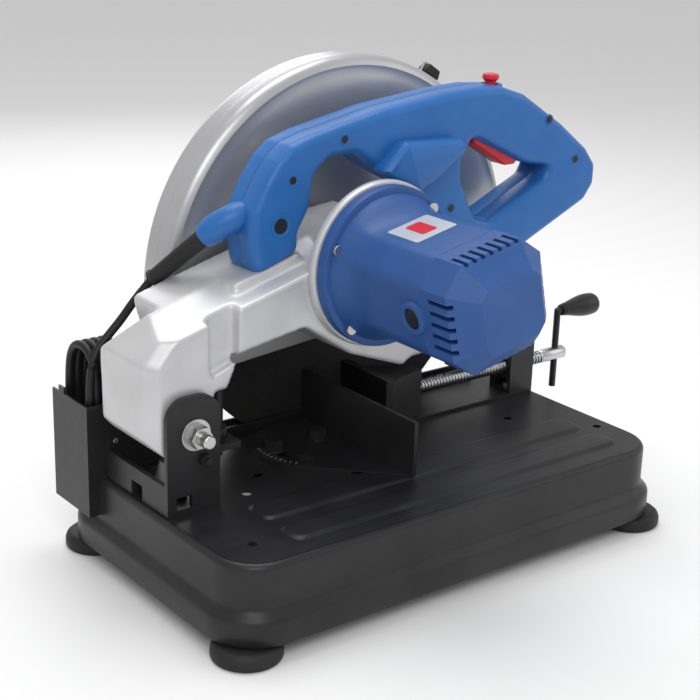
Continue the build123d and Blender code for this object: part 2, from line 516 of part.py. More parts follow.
with BuildPart() as swing_arm:
    y_prism(ARM_OUTLINE, ARM_NEAR_Y, ARM_FAR_Y)
    y_disc(SPINDLE_X, SPINDLE_Z, ARM_NEAR_Y, ARM_FAR_Y, GEAR_OUTER + 8)
    chamfer(swing_arm.edges().filter_by(lambda edge: edge.center().X < -190 and 145 < edge.center().Z < 285
                                        and abs(edge.center().Y - 31) > 40
                                        and edge.length > 20), 11)
    arm_top_cut(44, 13, True)
    arm_top_cut(46, 34, False)
    y_prism(SADDLE, HANDLE_NEAR_Y, HANDLE_FAR_Y)
    y_prism([(-188, 196), (-188, 262), (-160, 276), (-160, 206)], ARM_NEAR_Y - 1, -3, Mode.SUBTRACT)
    y_prism(REAR_CAVITY, 2, 60, Mode.SUBTRACT)
    y_prism(BEAM_CAVITY, 8, 60, Mode.SUBTRACT)
    y_disc(PIVOT_X, PIVOT_Z, ARM_NEAR_Y, ARM_FAR_Y, HUB_RADIUS)
    y_disc(SPINDLE_X, SPINDLE_Z, ARM_FAR_Y, GUARD_NEAR_Y, GUARD_BOSS)
    y_disc(PIVOT_X, PIVOT_Z, ARM_NEAR_Y - 1, ARM_FAR_Y + 1, PIVOT_RADIUS + RUNNING, Mode.SUBTRACT)
    y_disc(SPINDLE_X, SPINDLE_Z, GEAR_Y[0] - 2, GEAR_Y[1] + 2, GEAR_OUTER + 2, Mode.SUBTRACT)
    y_disc(MOTOR_X, MOTOR_Z, -3, GEAR_Y[1] + 2, PINION_OUTER + 2, Mode.SUBTRACT)
    y_disc(MOTOR_X, MOTOR_Z, ARM_NEAR_Y - 1, -3, BEARING_32, Mode.SUBTRACT)
    y_disc(SPINDLE_X, SPINDLE_Z, GEAR_Y[1], 46, BEARING_35, Mode.SUBTRACT)
    y_disc(SPINDLE_X, SPINDLE_Z, 40, 80, 12, Mode.SUBTRACT)
    y_disc(SPINDLE_X, SPINDLE_Z, 72, GUARD_NEAR_Y + 1, BEARING_35, Mode.SUBTRACT)
    for turn in (90, 210, 330):
        y_disc(*polar(SPINDLE_X, SPINDLE_Z, 36, turn), 74, GUARD_NEAR_Y + 1, 3, Mode.SUBTRACT)
swing_arm.part.label = "swing_arm"
export_step(swing_arm.part, "parts/swing_arm.step")

with BuildPart() as gear_cover:
    y_disc(MOTOR_X, MOTOR_Z, MOTOR_FLANGE_Y, ARM_NEAR_Y, FLANGE_RADIUS + 5)
    y_disc(MOTOR_X, MOTOR_Z, MOTOR_FLANGE_Y - 1, ARM_NEAR_Y + 1, BEARING_32, Mode.SUBTRACT)
gear_cover.part.label = "gear_cover"
export_step(gear_cover.part, "parts/gear_cover.step")

# ---------------------------------------------------------------- motor housing
MOTOR_AXIS = Axis((MOTOR_X, 0, MOTOR_Z), (0, 1, 0))


def export_rolled(builder, label):
    """Turn a finished motor piece about the motor's own axis to its fitted angle, name it and write it."""
    rolled = builder.part.rotate(MOTOR_AXIS, -MOTOR_ROLL)
    rolled.label = label
    export_step(rolled, f"parts/{label}.step")


CAP_BEVEL = 20.0


def motor_outline(inset):
    """Eight-sided section of the motor, drawn in by inset."""
    half_w = MOTOR_HALF_WIDTH - inset
    half_h = MOTOR_HALF_HEIGHT - inset
    cut = CAP_BEVEL - inset * 0.6
    corners = [(half_w, half_h - cut), (half_w - cut, half_h), (-half_w + cut, half_h), (-half_w, half_h - cut)]
    corners += [(-half_w, -half_h + cut), (-half_w + cut, -half_h), (half_w - cut, -half_h), (half_w, -half_h + cut)]
    return [(MOTOR_X + x, MOTOR_Z + z) for x, z in corners]


def motor_section(inset, y):
    """Sketch of the motor's section at y."""
    with BuildSketch(side_plane(y)) as profile:
        with BuildLine():
            Polyline(*motor_outline(inset), close=True)
        make_face()
    return profile.sketch


FLANGE_SCREWS = [polar(MOTOR_X, MOTOR_Z, 65, turn) for turn in (35, 145, 215, 325)]
BRUSH_Y = -128.0
with BuildPart() as motor_housing:
    y_prism(motor_outline(0), CAP_JOINT_Y, MOTOR_FLANGE_Y)
    y_disc(MOTOR_X, MOTOR_Z, MOTOR_FLANGE_Y - 12, MOTOR_FLANGE_Y, FLANGE_RADIUS)
    for sign in (-1, 1):
        face_x = MOTOR_X + sign * MOTOR_HALF_WIDTH
        x_disc(BRUSH_Y, MOTOR_Z, min(face_x, face_x + sign * 4), max(face_x, face_x + sign * 4), 11)
    y_disc(MOTOR_X, MOTOR_Z, CAP_JOINT_Y - 1, MOTOR_FLANGE_Y + 1, MOTOR_BORE, Mode.SUBTRACT)
    x_disc(BRUSH_Y, MOTOR_Z, MOTOR_X - 70, MOTOR_X + 70, 8, Mode.SUBTRACT)
    for screw_x, screw_z in FLANGE_SCREWS:
        y_disc(screw_x, screw_z, MOTOR_FLANGE_Y - 14, MOTOR_FLANGE_Y + 1, 2.6, Mode.SUBTRACT)
export_rolled(motor_housing, "motor_housing")

with BuildPart() as end_cap:
    y_prism(motor_outline(0), CAP_END_Y + CAP_BEVEL, CAP_JOINT_Y)
    loft([motor_section(0, CAP_END_Y + CAP_BEVEL), motor_section(CAP_BEVEL, CAP_END_Y)])
    y_disc(MOTOR_X, MOTOR_Z, CAP_END_Y + CAP_BEVEL + 2, CAP_JOINT_Y + 1, MOTOR_BORE, Mode.SUBTRACT)
    y_disc(MOTOR_X, MOTOR_Z, CAP_END_Y + 4, CAP_END_Y + 24, BEARING_26 + 12, Mode.SUBTRACT)
    y_disc(MOTOR_X, MOTOR_Z, CAP_END_Y + 4, CAP_END_Y + 14, BEARING_26 + 3)
    y_disc(MOTOR_X, MOTOR_Z, CAP_END_Y + 5, CAP_END_Y + 15, BEARING_26, Mode.SUBTRACT)
    for step in range(5):
        slot_z = MOTOR_Z - 20 + 10 * step
        block((MOTOR_X - 60, CAP_END_Y + 16, slot_z - 2), (MOTOR_X + 60, CAP_END_Y + 42, slot_z + 2), Mode.SUBTRACT)
    for step in range(7):
        slot_x = MOTOR_X - 27 + 9 * step
        block((slot_x - 2, CAP_END_Y + 18, MOTOR_Z - 60), (slot_x + 2, CAP_END_Y + 36, MOTOR_Z - 20), Mode.SUBTRACT)
        block((slot_x - 2, CAP_END_Y + 18, MOTOR_Z + 20), (slot_x + 2, CAP_END_Y + 36, MOTOR_Z + 60), Mode.SUBTRACT)
export_rolled(end_cap, "end_cap")

with BuildPart() as stator:
    y_disc(MOTOR_X, MOTOR_Z, -116, -52, MOTOR_BORE)
    y_disc(MOTOR_X, MOTOR_Z, -117, -51, 31, Mode.SUBTRACT)
stator.part.label = "stator"
export_step(stator.part, "parts/stator.step")

with BuildPart() as brush_caps:
    for sign in (-1, 1):
        outer_x = MOTOR_X + sign * (MOTOR_HALF_WIDTH + 3)
        inner_x = MOTOR_X + sign * (MOTOR_HALF_WIDTH - 4)
        x_disc(BRUSH_Y, MOTOR_Z, min(outer_x, inner_x), max(outer_x, inner_x), 8)
export_rolled(brush_caps, "brush_caps")

COMMUTATOR_RADIUS = 15.0
with BuildPart() as carbon_brushes:
    for sign in (-1, 1):
        low = COMMUTATOR_RADIUS + 0.3
        high = MOTOR_HALF_WIDTH - 4
        x0, x1 = sorted((MOTOR_X + sign * low, MOTOR_X + sign * high))
        block((x0, BRUSH_Y - 5, MOTOR_Z - 4), (x1, BRUSH_Y + 5, MOTOR_Z + 4))
export_rolled(carbon_brushes, "carbon_brushes")


def bearing(x, z, y0, width, outer, bore):
    """Ball bearing drawn as one ring."""
    y_disc(x, z, y0, y0 + width, outer)
    y_disc(x, z, y0 - 1, y0 + width + 1, bore, Mode.SUBTRACT)


REAR_JOURNAL = 5.0
FRONT_JOURNAL = 7.5
SPINDLE_JOURNAL = 8.5
with BuildPart() as motor_bearings:
    bearing(MOTOR_X, MOTOR_Z, CAP_END_Y + 5, 9, BEARING_26, REAR_JOURNAL + RUNNING)
    bearing(MOTOR_X, MOTOR_Z, ARM_NEAR_Y, 10, BEARING_32, FRONT_JOURNAL + RUNNING)
motor_bearings.part.label = "motor_bearings"
export_step(motor_bearings.part, "parts/motor_bearings.step")

with BuildPart() as spindle_bearings:
    bearing(SPINDLE_X, SPINDLE_Z, 34, 11, BEARING_35, SPINDLE_JOURNAL + RUNNING)
    bearing(SPINDLE_X, SPINDLE_Z, 73, 11, BEARING_35, SPINDLE_JOURNAL + RUNNING)
spindle_bearings.part.label = "spindle_bearings"
export_step(spindle_bearings.part, "parts/spindle_bearings.step")

with BuildPart() as motor_screws:
    for screw_x, screw_z in FLANGE_SCREWS:
        y_disc(screw_x, screw_z, MOTOR_FLANGE_Y - 12, MOTOR_FLANGE_Y, 2.5)
        y_disc(screw_x, screw_z, MOTOR_FLANGE_Y - 16, MOTOR_FLANGE_Y - 12, 5)
export_rolled(motor_screws, "motor_screws")

with BuildPart() as label_plate:
    block((MOTOR_X - 24, -108, MOTOR_Z + MOTOR_HALF_HEIGHT), (MOTOR_X + 24, -52, MOTOR_Z + MOTOR_HALF_HEIGHT + 0.6))
export_rolled(label_plate, "label_plate")

# ---------------------------------------------------------------- gears and shafts
PRESSURE_ANGLE = math.radians(25.0)
TOOTH_THINNING = 0.16


def gear_points(teeth, start_degrees):
    """Closed outline of a spur gear whose first tooth is centred at start_degrees."""
    pitch = GEAR_MODULE * teeth / 2
    base = pitch * math.cos(PRESSURE_ANGLE)
    tip = pitch + GEAR_MODULE
    root = pitch - 1.25 * GEAR_MODULE
    half_pitch_angle = math.pi / (2 * teeth) - TOOTH_THINNING / (2 * pitch)
    involute_at_pitch = math.tan(PRESSURE_ANGLE) - PRESSURE_ANGLE
    points = []
    for tooth in range(teeth):
        centre = math.radians(start_degrees) + 2 * math.pi * tooth / teeth
        flank = []
        for step in range(5):
            radius = max(base, root) + (tip - max(base, root)) * step / 4
            roll = math.acos(min(1.0, base / radius))
            flank.append((radius, half_pitch_angle + involute_at_pitch - math.tan(roll) + roll))
        foot = [(root, flank[0][1])] if base > root else []
        rising = foot + flank
        for radius, angle in rising:
            points.append((radius * math.cos(centre - angle), radius * math.sin(centre - angle)))
        for radius, angle in reversed(rising):
            points.append((radius * math.cos(centre + angle), radius * math.sin(centre + angle)))
    return points


def gear_solid(x, z, teeth, start_degrees, y0, y1):
    """Spur gear along Y."""
    with BuildSketch(side_plane(y1)) as profile:
        with BuildLine():
            Polyline(*[(x + u, z + v) for u, v in gear_points(teeth, start_degrees)], close=True)
        make_face()
    extrude(profile.sketch, amount=y1 - y0)


with BuildPart() as driven_gear:
    gear_solid(SPINDLE_X, SPINDLE_Z, GEAR_TEETH, MOTOR_LEAN, GEAR_Y[0], GEAR_Y[1])
    y_disc(SPINDLE_X, SPINDLE_Z, GEAR_Y[0] - 1, GEAR_Y[1] + 1, 10, Mode.SUBTRACT)
driven_gear.part.label = "driven_gear"
export_step(driven_gear.part, "parts/driven_gear.step")

with BuildPart() as armature_shaft:
    y_disc(MOTOR_X, MOTOR_Z, CAP_END_Y + 5, CAP_END_Y + 15, REAR_JOURNAL)
    y_disc(MOTOR_X, MOTOR_Z, CAP_END_Y + 15, ARM_NEAR_Y, 7)
    y_disc(MOTOR_X, MOTOR_Z, ARM_NEAR_Y, GEAR_Y[0], FRONT_JOURNAL)
    gear_solid(MOTOR_X, MOTOR_Z, PINION_TEETH, MOTOR_LEAN + 180 + 180 / PINION_TEETH, GEAR_Y[0] - 0.5, GEAR_Y[1])
armature_shaft.part.label = "armature_shaft"
export_step(armature_shaft.part, "parts/armature_shaft.step")

with BuildPart() as armature_core:
    y_disc(MOTOR_X, MOTOR_Z, -114, -54, 30)
    y_disc(MOTOR_X, MOTOR_Z, -115, -53, 7, Mode.SUBTRACT)
armature_core.part.label = "armature_core"
export_step(armature_core.part, "parts/armature_core.step")

with BuildPart() as commutator:
    y_disc(MOTOR_X, MOTOR_Z, BRUSH_Y - 9, BRUSH_Y + 9, COMMUTATOR_RADIUS)
    y_disc(MOTOR_X, MOTOR_Z, BRUSH_Y - 10, BRUSH_Y + 10, 7, Mode.SUBTRACT)
commutator.part.label = "commutator"
export_step(commutator.part, "parts/commutator.step")

FAN_BLADES = 9
with BuildPart() as cooling_fan:
    y_disc(MOTOR_X, MOTOR_Z, -32, -29, 40)
    y_disc(MOTOR_X, MOTOR_Z, -44, -29, 12)
    for blade in range(FAN_BLADES):
        turn = 360 / FAN_BLADES * blade
        side = polar(0, 0, 1.2, turn + 90)
        inner = polar(MOTOR_X, MOTOR_Z, 9, turn)
        outer = polar(MOTOR_X, MOTOR_Z, 38, turn)
        y_prism([(inner[0] - side[0], inner[1] - side[1]), (outer[0] - side[0], outer[1] - side[1]),
                 (outer[0] + side[0], outer[1] + side[1]), (inner[0] + side[0], inner[1] + side[1])], -43, -30)
    y_disc(MOTOR_X, MOTOR_Z, -46, -28, 7, Mode.SUBTRACT)
cooling_fan.part.label = "cooling_fan"
export_step(cooling_fan.part, "parts/cooling_fan.step")

FLANGE_FACE_Y = WHEEL_Y - WHEEL_THICKNESS / 2
SPINDLE_END_Y = WHEEL_Y + 5
BOLT_RADIUS = 5.0
WHEEL_BORE = 12.7
with BuildPart() as spindle:
    y_disc(SPINDLE_X, SPINDLE_Z, GEAR_Y[0] - 1, 33, 10)
    y_disc(SPINDLE_X, SPINDLE_Z, 33, 85, SPINDLE_JOURNAL)
    y_disc(SPINDLE_X, SPINDLE_Z, 85, FLANGE_FACE_Y, 11)
    y_disc(SPINDLE_X, SPINDLE_Z, FLANGE_FACE_Y, SPINDLE_END_Y, WHEEL_BORE)
    y_disc(SPINDLE_X, SPINDLE_Z, WHEEL_Y - 14, SPINDLE_END_Y + 1, BOLT_RADIUS, Mode.SUBTRACT)
spindle.part.label = "spindle"
export_step(spindle.part, "parts/spindle.step")

FLANGE_DISC = 40.0
with BuildPart() as inner_flange:
    y_disc(SPINDLE_X, SPINDLE_Z, FLANGE_FACE_Y - 9, FLANGE_FACE_Y, FLANGE_DISC)
    y_disc(SPINDLE_X, SPINDLE_Z, FLANGE_FACE_Y - 10, FLANGE_FACE_Y + 1, 11, Mode.SUBTRACT)
    chamfer(inner_flange.edges().filter_by(GeomType.CIRCLE).filter_by(
        lambda edge: edge.radius > FLANGE_DISC - 1).sort_by(Axis.Y)[0], 4)
inner_flange.part.label = "inner_flange"
export_step(inner_flange.part, "parts/inner_flange.step")

OUTER_FLANGE_Y = WHEEL_Y + WHEEL_THICKNESS / 2
with BuildPart() as outer_flange:
    y_disc(SPINDLE_X, SPINDLE_Z, OUTER_FLANGE_Y, OUTER_FLANGE_Y + 7, FLANGE_DISC)
    y_disc(SPINDLE_X, SPINDLE_Z, OUTER_FLANGE_Y - 1, SPINDLE_END_Y + 0.4, WHEEL_BORE + RUNNING, Mode.SUBTRACT)
    y_disc(SPINDLE_X, SPINDLE_Z, OUTER_FLANGE_Y, OUTER_FLANGE_Y + 8, BOLT_RADIUS + 0.2, Mode.SUBTRACT)
    chamfer(outer_flange.edges().filter_by(GeomType.CIRCLE).filter_by(
        lambda edge: edge.radius > FLANGE_DISC - 1).sort_by(Axis.Y)[-1], 3)
outer_flange.part.label = "outer_flange"
export_step(outer_flange.part, "parts/outer_flange.step")

with BuildPart() as abrasive_wheel:
    y_disc(SPINDLE_X, SPINDLE_Z, FLANGE_FACE_Y, OUTER_FLANGE_Y, WHEEL_RADIUS)
    y_disc(SPINDLE_X, SPINDLE_Z, FLANGE_FACE_Y - 1, OUTER_FLANGE_Y + 1, WHEEL_BORE, Mode.SUBTRACT)
abrasive_wheel.part.label = "abrasive_wheel"
export_step(abrasive_wheel.part, "parts/abrasive_wheel.step")

with BuildPart() as wheel_bolt:
    y_disc(SPINDLE_X, SPINDLE_Z, WHEEL_Y - 13, OUTER_FLANGE_Y + 8, BOLT_RADIUS)
    y_disc(SPINDLE_X, SPINDLE_Z, OUTER_FLANGE_Y + 7, OUTER_FLANGE_Y + 9, 12)
    y_hex(SPINDLE_X, SPINDLE_Z, OUTER_FLANGE_Y + 9, OUTER_FLANGE_Y + 16, 17)
wheel_bolt.part.label = "wheel_bolt"
export_step(wheel_bolt.part, "parts/wheel_bolt.step")

# ---------------------------------------------------------------- wheel guard
GUARD_START = -12.0
GUARD_STOP = 196.0
ACCESS_RADIUS = 22.0
SWING_BOSS = 27.0
SWING_RADIUS = GUARD_RADIUS - 8
SWING_START = 54.0
SWING_STOP = 112.0
SWING_TRAVEL = 55.0


def guard_sector(y0, y1, radius, mode=Mode.ADD):
    """Part of a disc between the guard's two straight lower edges."""
    reach = GUARD_RADIUS * 1.6
    left = polar(SPINDLE_X, SPINDLE_Z, reach, GUARD_STOP)
    right = polar(SPINDLE_X, SPINDLE_Z, reach, GUARD_START)
    with BuildSketch(side_plane(y1)) as profile:
        with Locations((SPINDLE_X, SPINDLE_Z)):
            Circle(radius)
        with BuildLine():
            Polyline((SPINDLE_X, SPINDLE_Z - 60), left, (left[0], SPINDLE_Z - reach), (right[0], SPINDLE_Z - reach),
                     right, close=True)
        make_face(mode=Mode.SUBTRACT)
    extrude(profile.sketch, amount=y1 - y0, mode=mode)


with BuildPart() as guard_inner:
    guard_sector(GUARD_NEAR_Y + 7, GUARD_SEAM_Y, GUARD_RADIUS)
    guard_sector(GUARD_NEAR_Y + 3.5, GUARD_NEAR_Y + 7, GUARD_RADIUS - 1.6)
    guard_sector(GUARD_NEAR_Y, GUARD_NEAR_Y + 3.5, GUARD_RADIUS - 5)
    guard_sector(GUARD_NEAR_Y + GUARD_SHEET, GUARD_SEAM_Y + 1, GUARD_RADIUS - GUARD_SHEET - 5, Mode.SUBTRACT)
    guard_sector(GUARD_NEAR_Y + 10, GUARD_SEAM_Y + 1, GUARD_RADIUS - GUARD_SHEET, Mode.SUBTRACT)
    y_disc(SPINDLE_X, SPINDLE_Z, GUARD_NEAR_Y - 1, GUARD_NEAR_Y + 5, 24, Mode.SUBTRACT)
    for turn in (90, 210, 330):
        y_disc(*polar(SPINDLE_X, SPINDLE_Z, 36, turn), GUARD_NEAR_Y - 1, GUARD_NEAR_Y + 5, 3, Mode.SUBTRACT)
guard_inner.part.label = "guard_inner"
export_step(guard_inner.part, "parts/guard_inner.step")

with BuildPart() as guard_outer:
    guard_sector(GUARD_SEAM_Y + CLEAR, GUARD_FAR_Y, GUARD_RADIUS)
    guard_sector(GUARD_SEAM_Y, GUARD_FAR_Y - GUARD_SHEET, GUARD_RADIUS - GUARD_SHEET, Mode.SUBTRACT)
    y_disc(SPINDLE_X, SPINDLE_Z, GUARD_FAR_Y - 9, GUARD_FAR_Y, SWING_BOSS)
    y_disc(SPINDLE_X, SPINDLE_Z, GUARD_FAR_Y - 10, GUARD_FAR_Y + 1, ACCESS_RADIUS, Mode.SUBTRACT)
    with BuildSketch(side_plane(120)):
        with BuildLine():
            CenterArc((SPINDLE_X, SPINDLE_Z), GUARD_RADIUS - 6, SWING_START - SWING_TRAVEL - 3, SWING_TRAVEL + 11)
            CenterArc((SPINDLE_X, SPINDLE_Z), GUARD_RADIUS + 3, SWING_START - SWING_TRAVEL - 3, SWING_TRAVEL + 11)
            for end in (SWING_START - SWING_TRAVEL - 3, SWING_START + 8):
                Line(polar(SPINDLE_X, SPINDLE_Z, GUARD_RADIUS - 6, end), polar(SPINDLE_X, SPINDLE_Z, GUARD_RADIUS + 3, end))
        make_face()
    extrude(amount=6, mode=Mode.SUBTRACT)
guard_outer.part.label = "guard_outer"
export_step(guard_outer.part, "parts/guard_outer.step")

with BuildPart() as guard_screws:
    for turn in (90, 210, 330):
        screw_x, screw_z = polar(SPINDLE_X, SPINDLE_Z, 36, turn)
        y_disc(screw_x, screw_z, 76, GUARD_NEAR_Y + GUARD_SHEET, 2.95)
        y_disc(screw_x, screw_z, GUARD_NEAR_Y + GUARD_SHEET, GUARD_NEAR_Y + GUARD_SHEET + 3.5, 5)
guard_screws.part.label = "guard_screws"
export_step(guard_screws.part, "parts/guard_screws.step")


def swing_sector(y0, y1, inner, outer, start, stop):
    """Ring sector along Y about the spindle."""
    with BuildSketch(side_plane(y1)) as profile:
        with BuildLine():
            CenterArc((SPINDLE_X, SPINDLE_Z), inner, start, stop - start)
            CenterArc((SPINDLE_X, SPINDLE_Z), outer, start, stop - start)
            for end in (start, stop):
                Line(polar(SPINDLE_X, SPINDLE_Z, inner, end), polar(SPINDLE_X, SPINDLE_Z, outer, end))
        make_face()
    extrude(profile.sketch, amount=y1 - y0)


with BuildPart() as swing_guard:
    swing_sector(122.2, 124.2, 30, SWING_RADIUS, SWING_START, SWING_STOP)
    y_disc(SPINDLE_X, SPINDLE_Z, 122.2, 124.2, SWING_BOSS + 7)
    swing_sector(98, 124.2, SWING_RADIUS - 2, SWING_RADIUS, SWING_START, SWING_STOP)
    swing_sector(115.5, 118.5, SWING_RADIUS - 1, GUARD_RADIUS + 14, SWING_START, SWING_START + 6)
    y_disc(SPINDLE_X, SPINDLE_Z, 121, 126, SWING_BOSS + RUNNING, Mode.SUBTRACT)
swing_guard.part.label = "swing_guard"
export_step(swing_guard.part, "parts/swing_guard.step")

# ---------------------------------------------------------------- handle, switch and controls
SLEEVE_START = Vector(-150, 29, 316)
SLEEVE_END = Vector(-185, 88, 256)
SLEEVE_AXIS = (SLEEVE_END - SLEEVE_START).normalized()
SLEEVE_RADIUS = 8.5
SLEEVE_SEAT = 12.0
HANDLE_OUTLINE = [
    (-153, 262), (-157, 304), (-155, 326), (-140, 350), (-128, 368), (-112, 380), (-84, 386), (2, 403), (82, 411),
    (120, 413), (148, 411), (176, 402), (228, 370), (264, 343), (279, 326), (279, 306), (268, 290), (185, 254),
    (112, 243), (80, 243), (30, 280), (38, 322), (-2, 340), (-25, 360), (-56, 357), (-70, 344), (-74, 320),
    (-86, 300), (-86, 262),
]
GRIP_OPENING = [(112, 368), (99, 346), (101, 326), (119, 292), (136, 286), (206, 318), (213, 330), (190, 334), (178, 337)]
TRIGGER_PIVOT = (181.0, 349.0)
TRIGGER_OUTLINE = [(119, 367), (122, 359), (164, 334), (176, 334), (186, 344), (188, 353), (176, 357), (132, 384), (121, 382)]
TRIGGER_POCKET = [(112, 360), (112, 396), (140, 396), (196, 366), (196, 336), (180, 328), (150, 328)]
SWITCH_BOX = ((66.0, 14.0, 372.0), (108.0, 42.0, 396.0))
BUTTON_X = 148.0
BUTTON_TOP = 421.0
HANDLE_SCREWS = ((72, 366), (206, 376), (246, 334), (86, 304), (-94, 350), (-100, 312), (-40, 380))


def handle_half(y0, y1):
    """One moulded half of the handle, between its outer face and the parting plane."""
    y_prism(HANDLE_OUTLINE, y0, y1)
    y_prism(GRIP_OPENING, y0 - 1, y1 + 1, Mode.SUBTRACT)
    y_prism(TRIGGER_POCKET, max(y0, 15), min(y1, 41), Mode.SUBTRACT)
    block(tuple(v - CLEAR for v in SWITCH_BOX[0]), tuple(v + CLEAR for v in SWITCH_BOX[1]), Mode.SUBTRACT)
    z_disc(BUTTON_X, HANDLE_MID_Y, 386, 420, 6.3, Mode.SUBTRACT)
    y_prism(ARM_OUTLINE, y0 - 1, y1 + 1, Mode.SUBTRACT)
    y_prism(SADDLE, y0 - 1, y1 + 1, Mode.SUBTRACT)
    y_disc(SPINDLE_X, SPINDLE_Z, y0 - 1, y1 + 1, GEAR_OUTER + 8, Mode.SUBTRACT)


with BuildPart() as handle_near:
    handle_half(HANDLE_NEAR_Y, HANDLE_MID_Y)
    for screw_x, screw_z in HANDLE_SCREWS:
        y_disc(screw_x, screw_z, HANDLE_NEAR_Y - 1, HANDLE_NEAR_Y + 6, 4.5, Mode.SUBTRACT)
        y_disc(screw_x, screw_z, HANDLE_NEAR_Y, HANDLE_MID_Y + 1, 2.3, Mode.SUBTRACT)
handle_near.part.label = "handle_near"
export_step(handle_near.part, "parts/handle_near.step")

with BuildPart() as handle_far:
    handle_half(HANDLE_MID_Y + 0.1, HANDLE_FAR_Y)
    for screw_x, screw_z in HANDLE_SCREWS:
        y_disc(screw_x, screw_z, HANDLE_MID_Y, HANDLE_MID_Y + 16, 2.3, Mode.SUBTRACT)
    with BuildSketch(Plane(origin=SLEEVE_START, z_dir=SLEEVE_AXIS).offset(SLEEVE_SEAT)):
        Circle(SLEEVE_RADIUS)
    extrude(amount=60, mode=Mode.SUBTRACT)
handle_far.part.label = "handle_far"
export_step(handle_far.part, "parts/handle_far.step")

with BuildPart() as handle_screws:
    for screw_x, screw_z in HANDLE_SCREWS:
        y_disc(screw_x, screw_z, HANDLE_NEAR_Y + 3, HANDLE_NEAR_Y + 6, 4.2)
        y_disc(screw_x, screw_z, HANDLE_NEAR_Y + 6, HANDLE_MID_Y + 15, 2.2)
handle_screws.part.label = "handle_screws"
export_step(handle_screws.part, "parts/handle_screws.step")

with BuildPart() as switch_module:
    block(*SWITCH_BOX)
switch_module.part.label = "switch_module"
export_step(switch_module.part, "parts/switch_module.step")

with BuildPart() as trigger:
    y_prism(TRIGGER_OUTLINE, 17, 39)
trigger.part.label = "trigger"
export_step(trigger.part, "parts/trigger.step")

with BuildPart() as lock_button:
    z_disc(BUTTON_X, HANDLE_MID_Y, 400, BUTTON_TOP, 6)
    z_disc(BUTTON_X, HANDLE_MID_Y, BUTTON_TOP - 5, BUTTON_TOP, 7.5)
lock_button.part.label = "lock_button"
export_step(lock_button.part, "parts/lock_button.step")

# ---------------------------------------------------------------- power cord
HANK_TOP = 207.0
HANK_BOTTOM = 86.0
HANK_X = (-249.5, -209.5)
CORD_ROUTE = [SLEEVE_END, Vector(-200, 94.5, 236), Vector(-214, 99, HANK_TOP)]
first_run = CORD_ROUTE[1] - CORD_ROUTE[0]
with BuildPart() as cable_sleeve:
    with BuildSketch(Plane(origin=SLEEVE_START, z_dir=SLEEVE_AXIS).offset(SLEEVE_SEAT)):
        Circle(SLEEVE_RADIUS)
    with BuildSketch(Plane(origin=SLEEVE_END, z_dir=first_run)):
        Circle(6.5)
    loft()
cable_sleeve.part.label = "cable_sleeve"
export_step(cable_sleeve.part, "parts/cable_sleeve.step")

second_run = CORD_ROUTE[2] - CORD_ROUTE[1]
cord_turn = math.radians(first_run.get_angle(second_run))
cord_bend = 0.45 * min(first_run.length, second_run.length) / math.tan(cord_turn / 2)
print(f"cord bend radius {cord_bend:.1f} mm")
with BuildPart() as power_cord:
    with BuildLine():
        FilletPolyline(*CORD_ROUTE, radius=cord_bend)
    with BuildSketch(Plane(origin=CORD_ROUTE[0], z_dir=first_run)):
        Circle(CORD_RADIUS)
    sweep()
power_cord.part.label = "power_cord"
export_step(power_cord.part, "parts/power_cord.step")

with BuildPart() as cord_hank:
    x_prism([(89.5, HANK_BOTTOM), (89.5, 186), (92, HANK_TOP + 4), (108, HANK_TOP + 4), (128, 197), (143, 176),
             (143, HANK_BOTTOM)], HANK_X[0], HANK_X[1])
    y_prism([(HANK_X[0] - 1, 180), (HANK_X[0] + 16, HANK_TOP + 5), (HANK_X[0] - 1, HANK_TOP + 5)], 80, 145, Mode.SUBTRACT)
    end_run = CORD_ROUTE[2] - CORD_ROUTE[1]
    with BuildSketch(Plane(origin=CORD_ROUTE[2], z_dir=end_run * -1)):
        Rectangle(120, 120)
    extrude(amount=60, mode=Mode.SUBTRACT)
cord_hank.part.label = "cord_hank"
export_step(cord_hank.part, "parts/cord_hank.step")

PLUG_Y = 114.0
PLUG_Z = 95.5
with BuildPart() as mains_plug:
    x_disc(PLUG_Y, PLUG_Z, HANK_X[1], HANK_X[1] + 12, 5.5)
    block((HANK_X[1] + 12, PLUG_Y - 15, PLUG_Z - 9), (HANK_X[1] + 46, PLUG_Y + 15, PLUG_Z + 9))
    fillet(mains_plug.edges().filter_by(Axis.X), 5)
    for pin_y in (PLUG_Y - 9.5, PLUG_Y + 9.5):
        x_disc(pin_y, PLUG_Z, HANK_X[1] + 45, HANK_X[1] + 64, 2.4)
mains_plug.part.label = "mains_plug"
export_step(mains_plug.part, "parts/mains_plug.step")
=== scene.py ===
"""Visual model of an abrasive chop saw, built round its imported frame, with a soft studio and a camera."""
from __future__ import annotations

import json
import logging
import math
from dataclasses import dataclass
from enum import Enum
from typing import Sequence

import bmesh
import bpy
import numpy as np
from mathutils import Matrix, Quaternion, Vector


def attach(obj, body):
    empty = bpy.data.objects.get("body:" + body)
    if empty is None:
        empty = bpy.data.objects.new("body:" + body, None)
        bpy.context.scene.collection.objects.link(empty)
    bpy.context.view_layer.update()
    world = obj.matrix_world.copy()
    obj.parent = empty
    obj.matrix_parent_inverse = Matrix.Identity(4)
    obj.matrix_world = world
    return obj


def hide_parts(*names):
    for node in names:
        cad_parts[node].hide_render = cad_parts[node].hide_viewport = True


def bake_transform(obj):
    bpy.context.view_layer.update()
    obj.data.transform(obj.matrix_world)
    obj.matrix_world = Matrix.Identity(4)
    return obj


LOG = logging.getLogger("chop_saw")
MM = 0.001
Points = np.ndarray

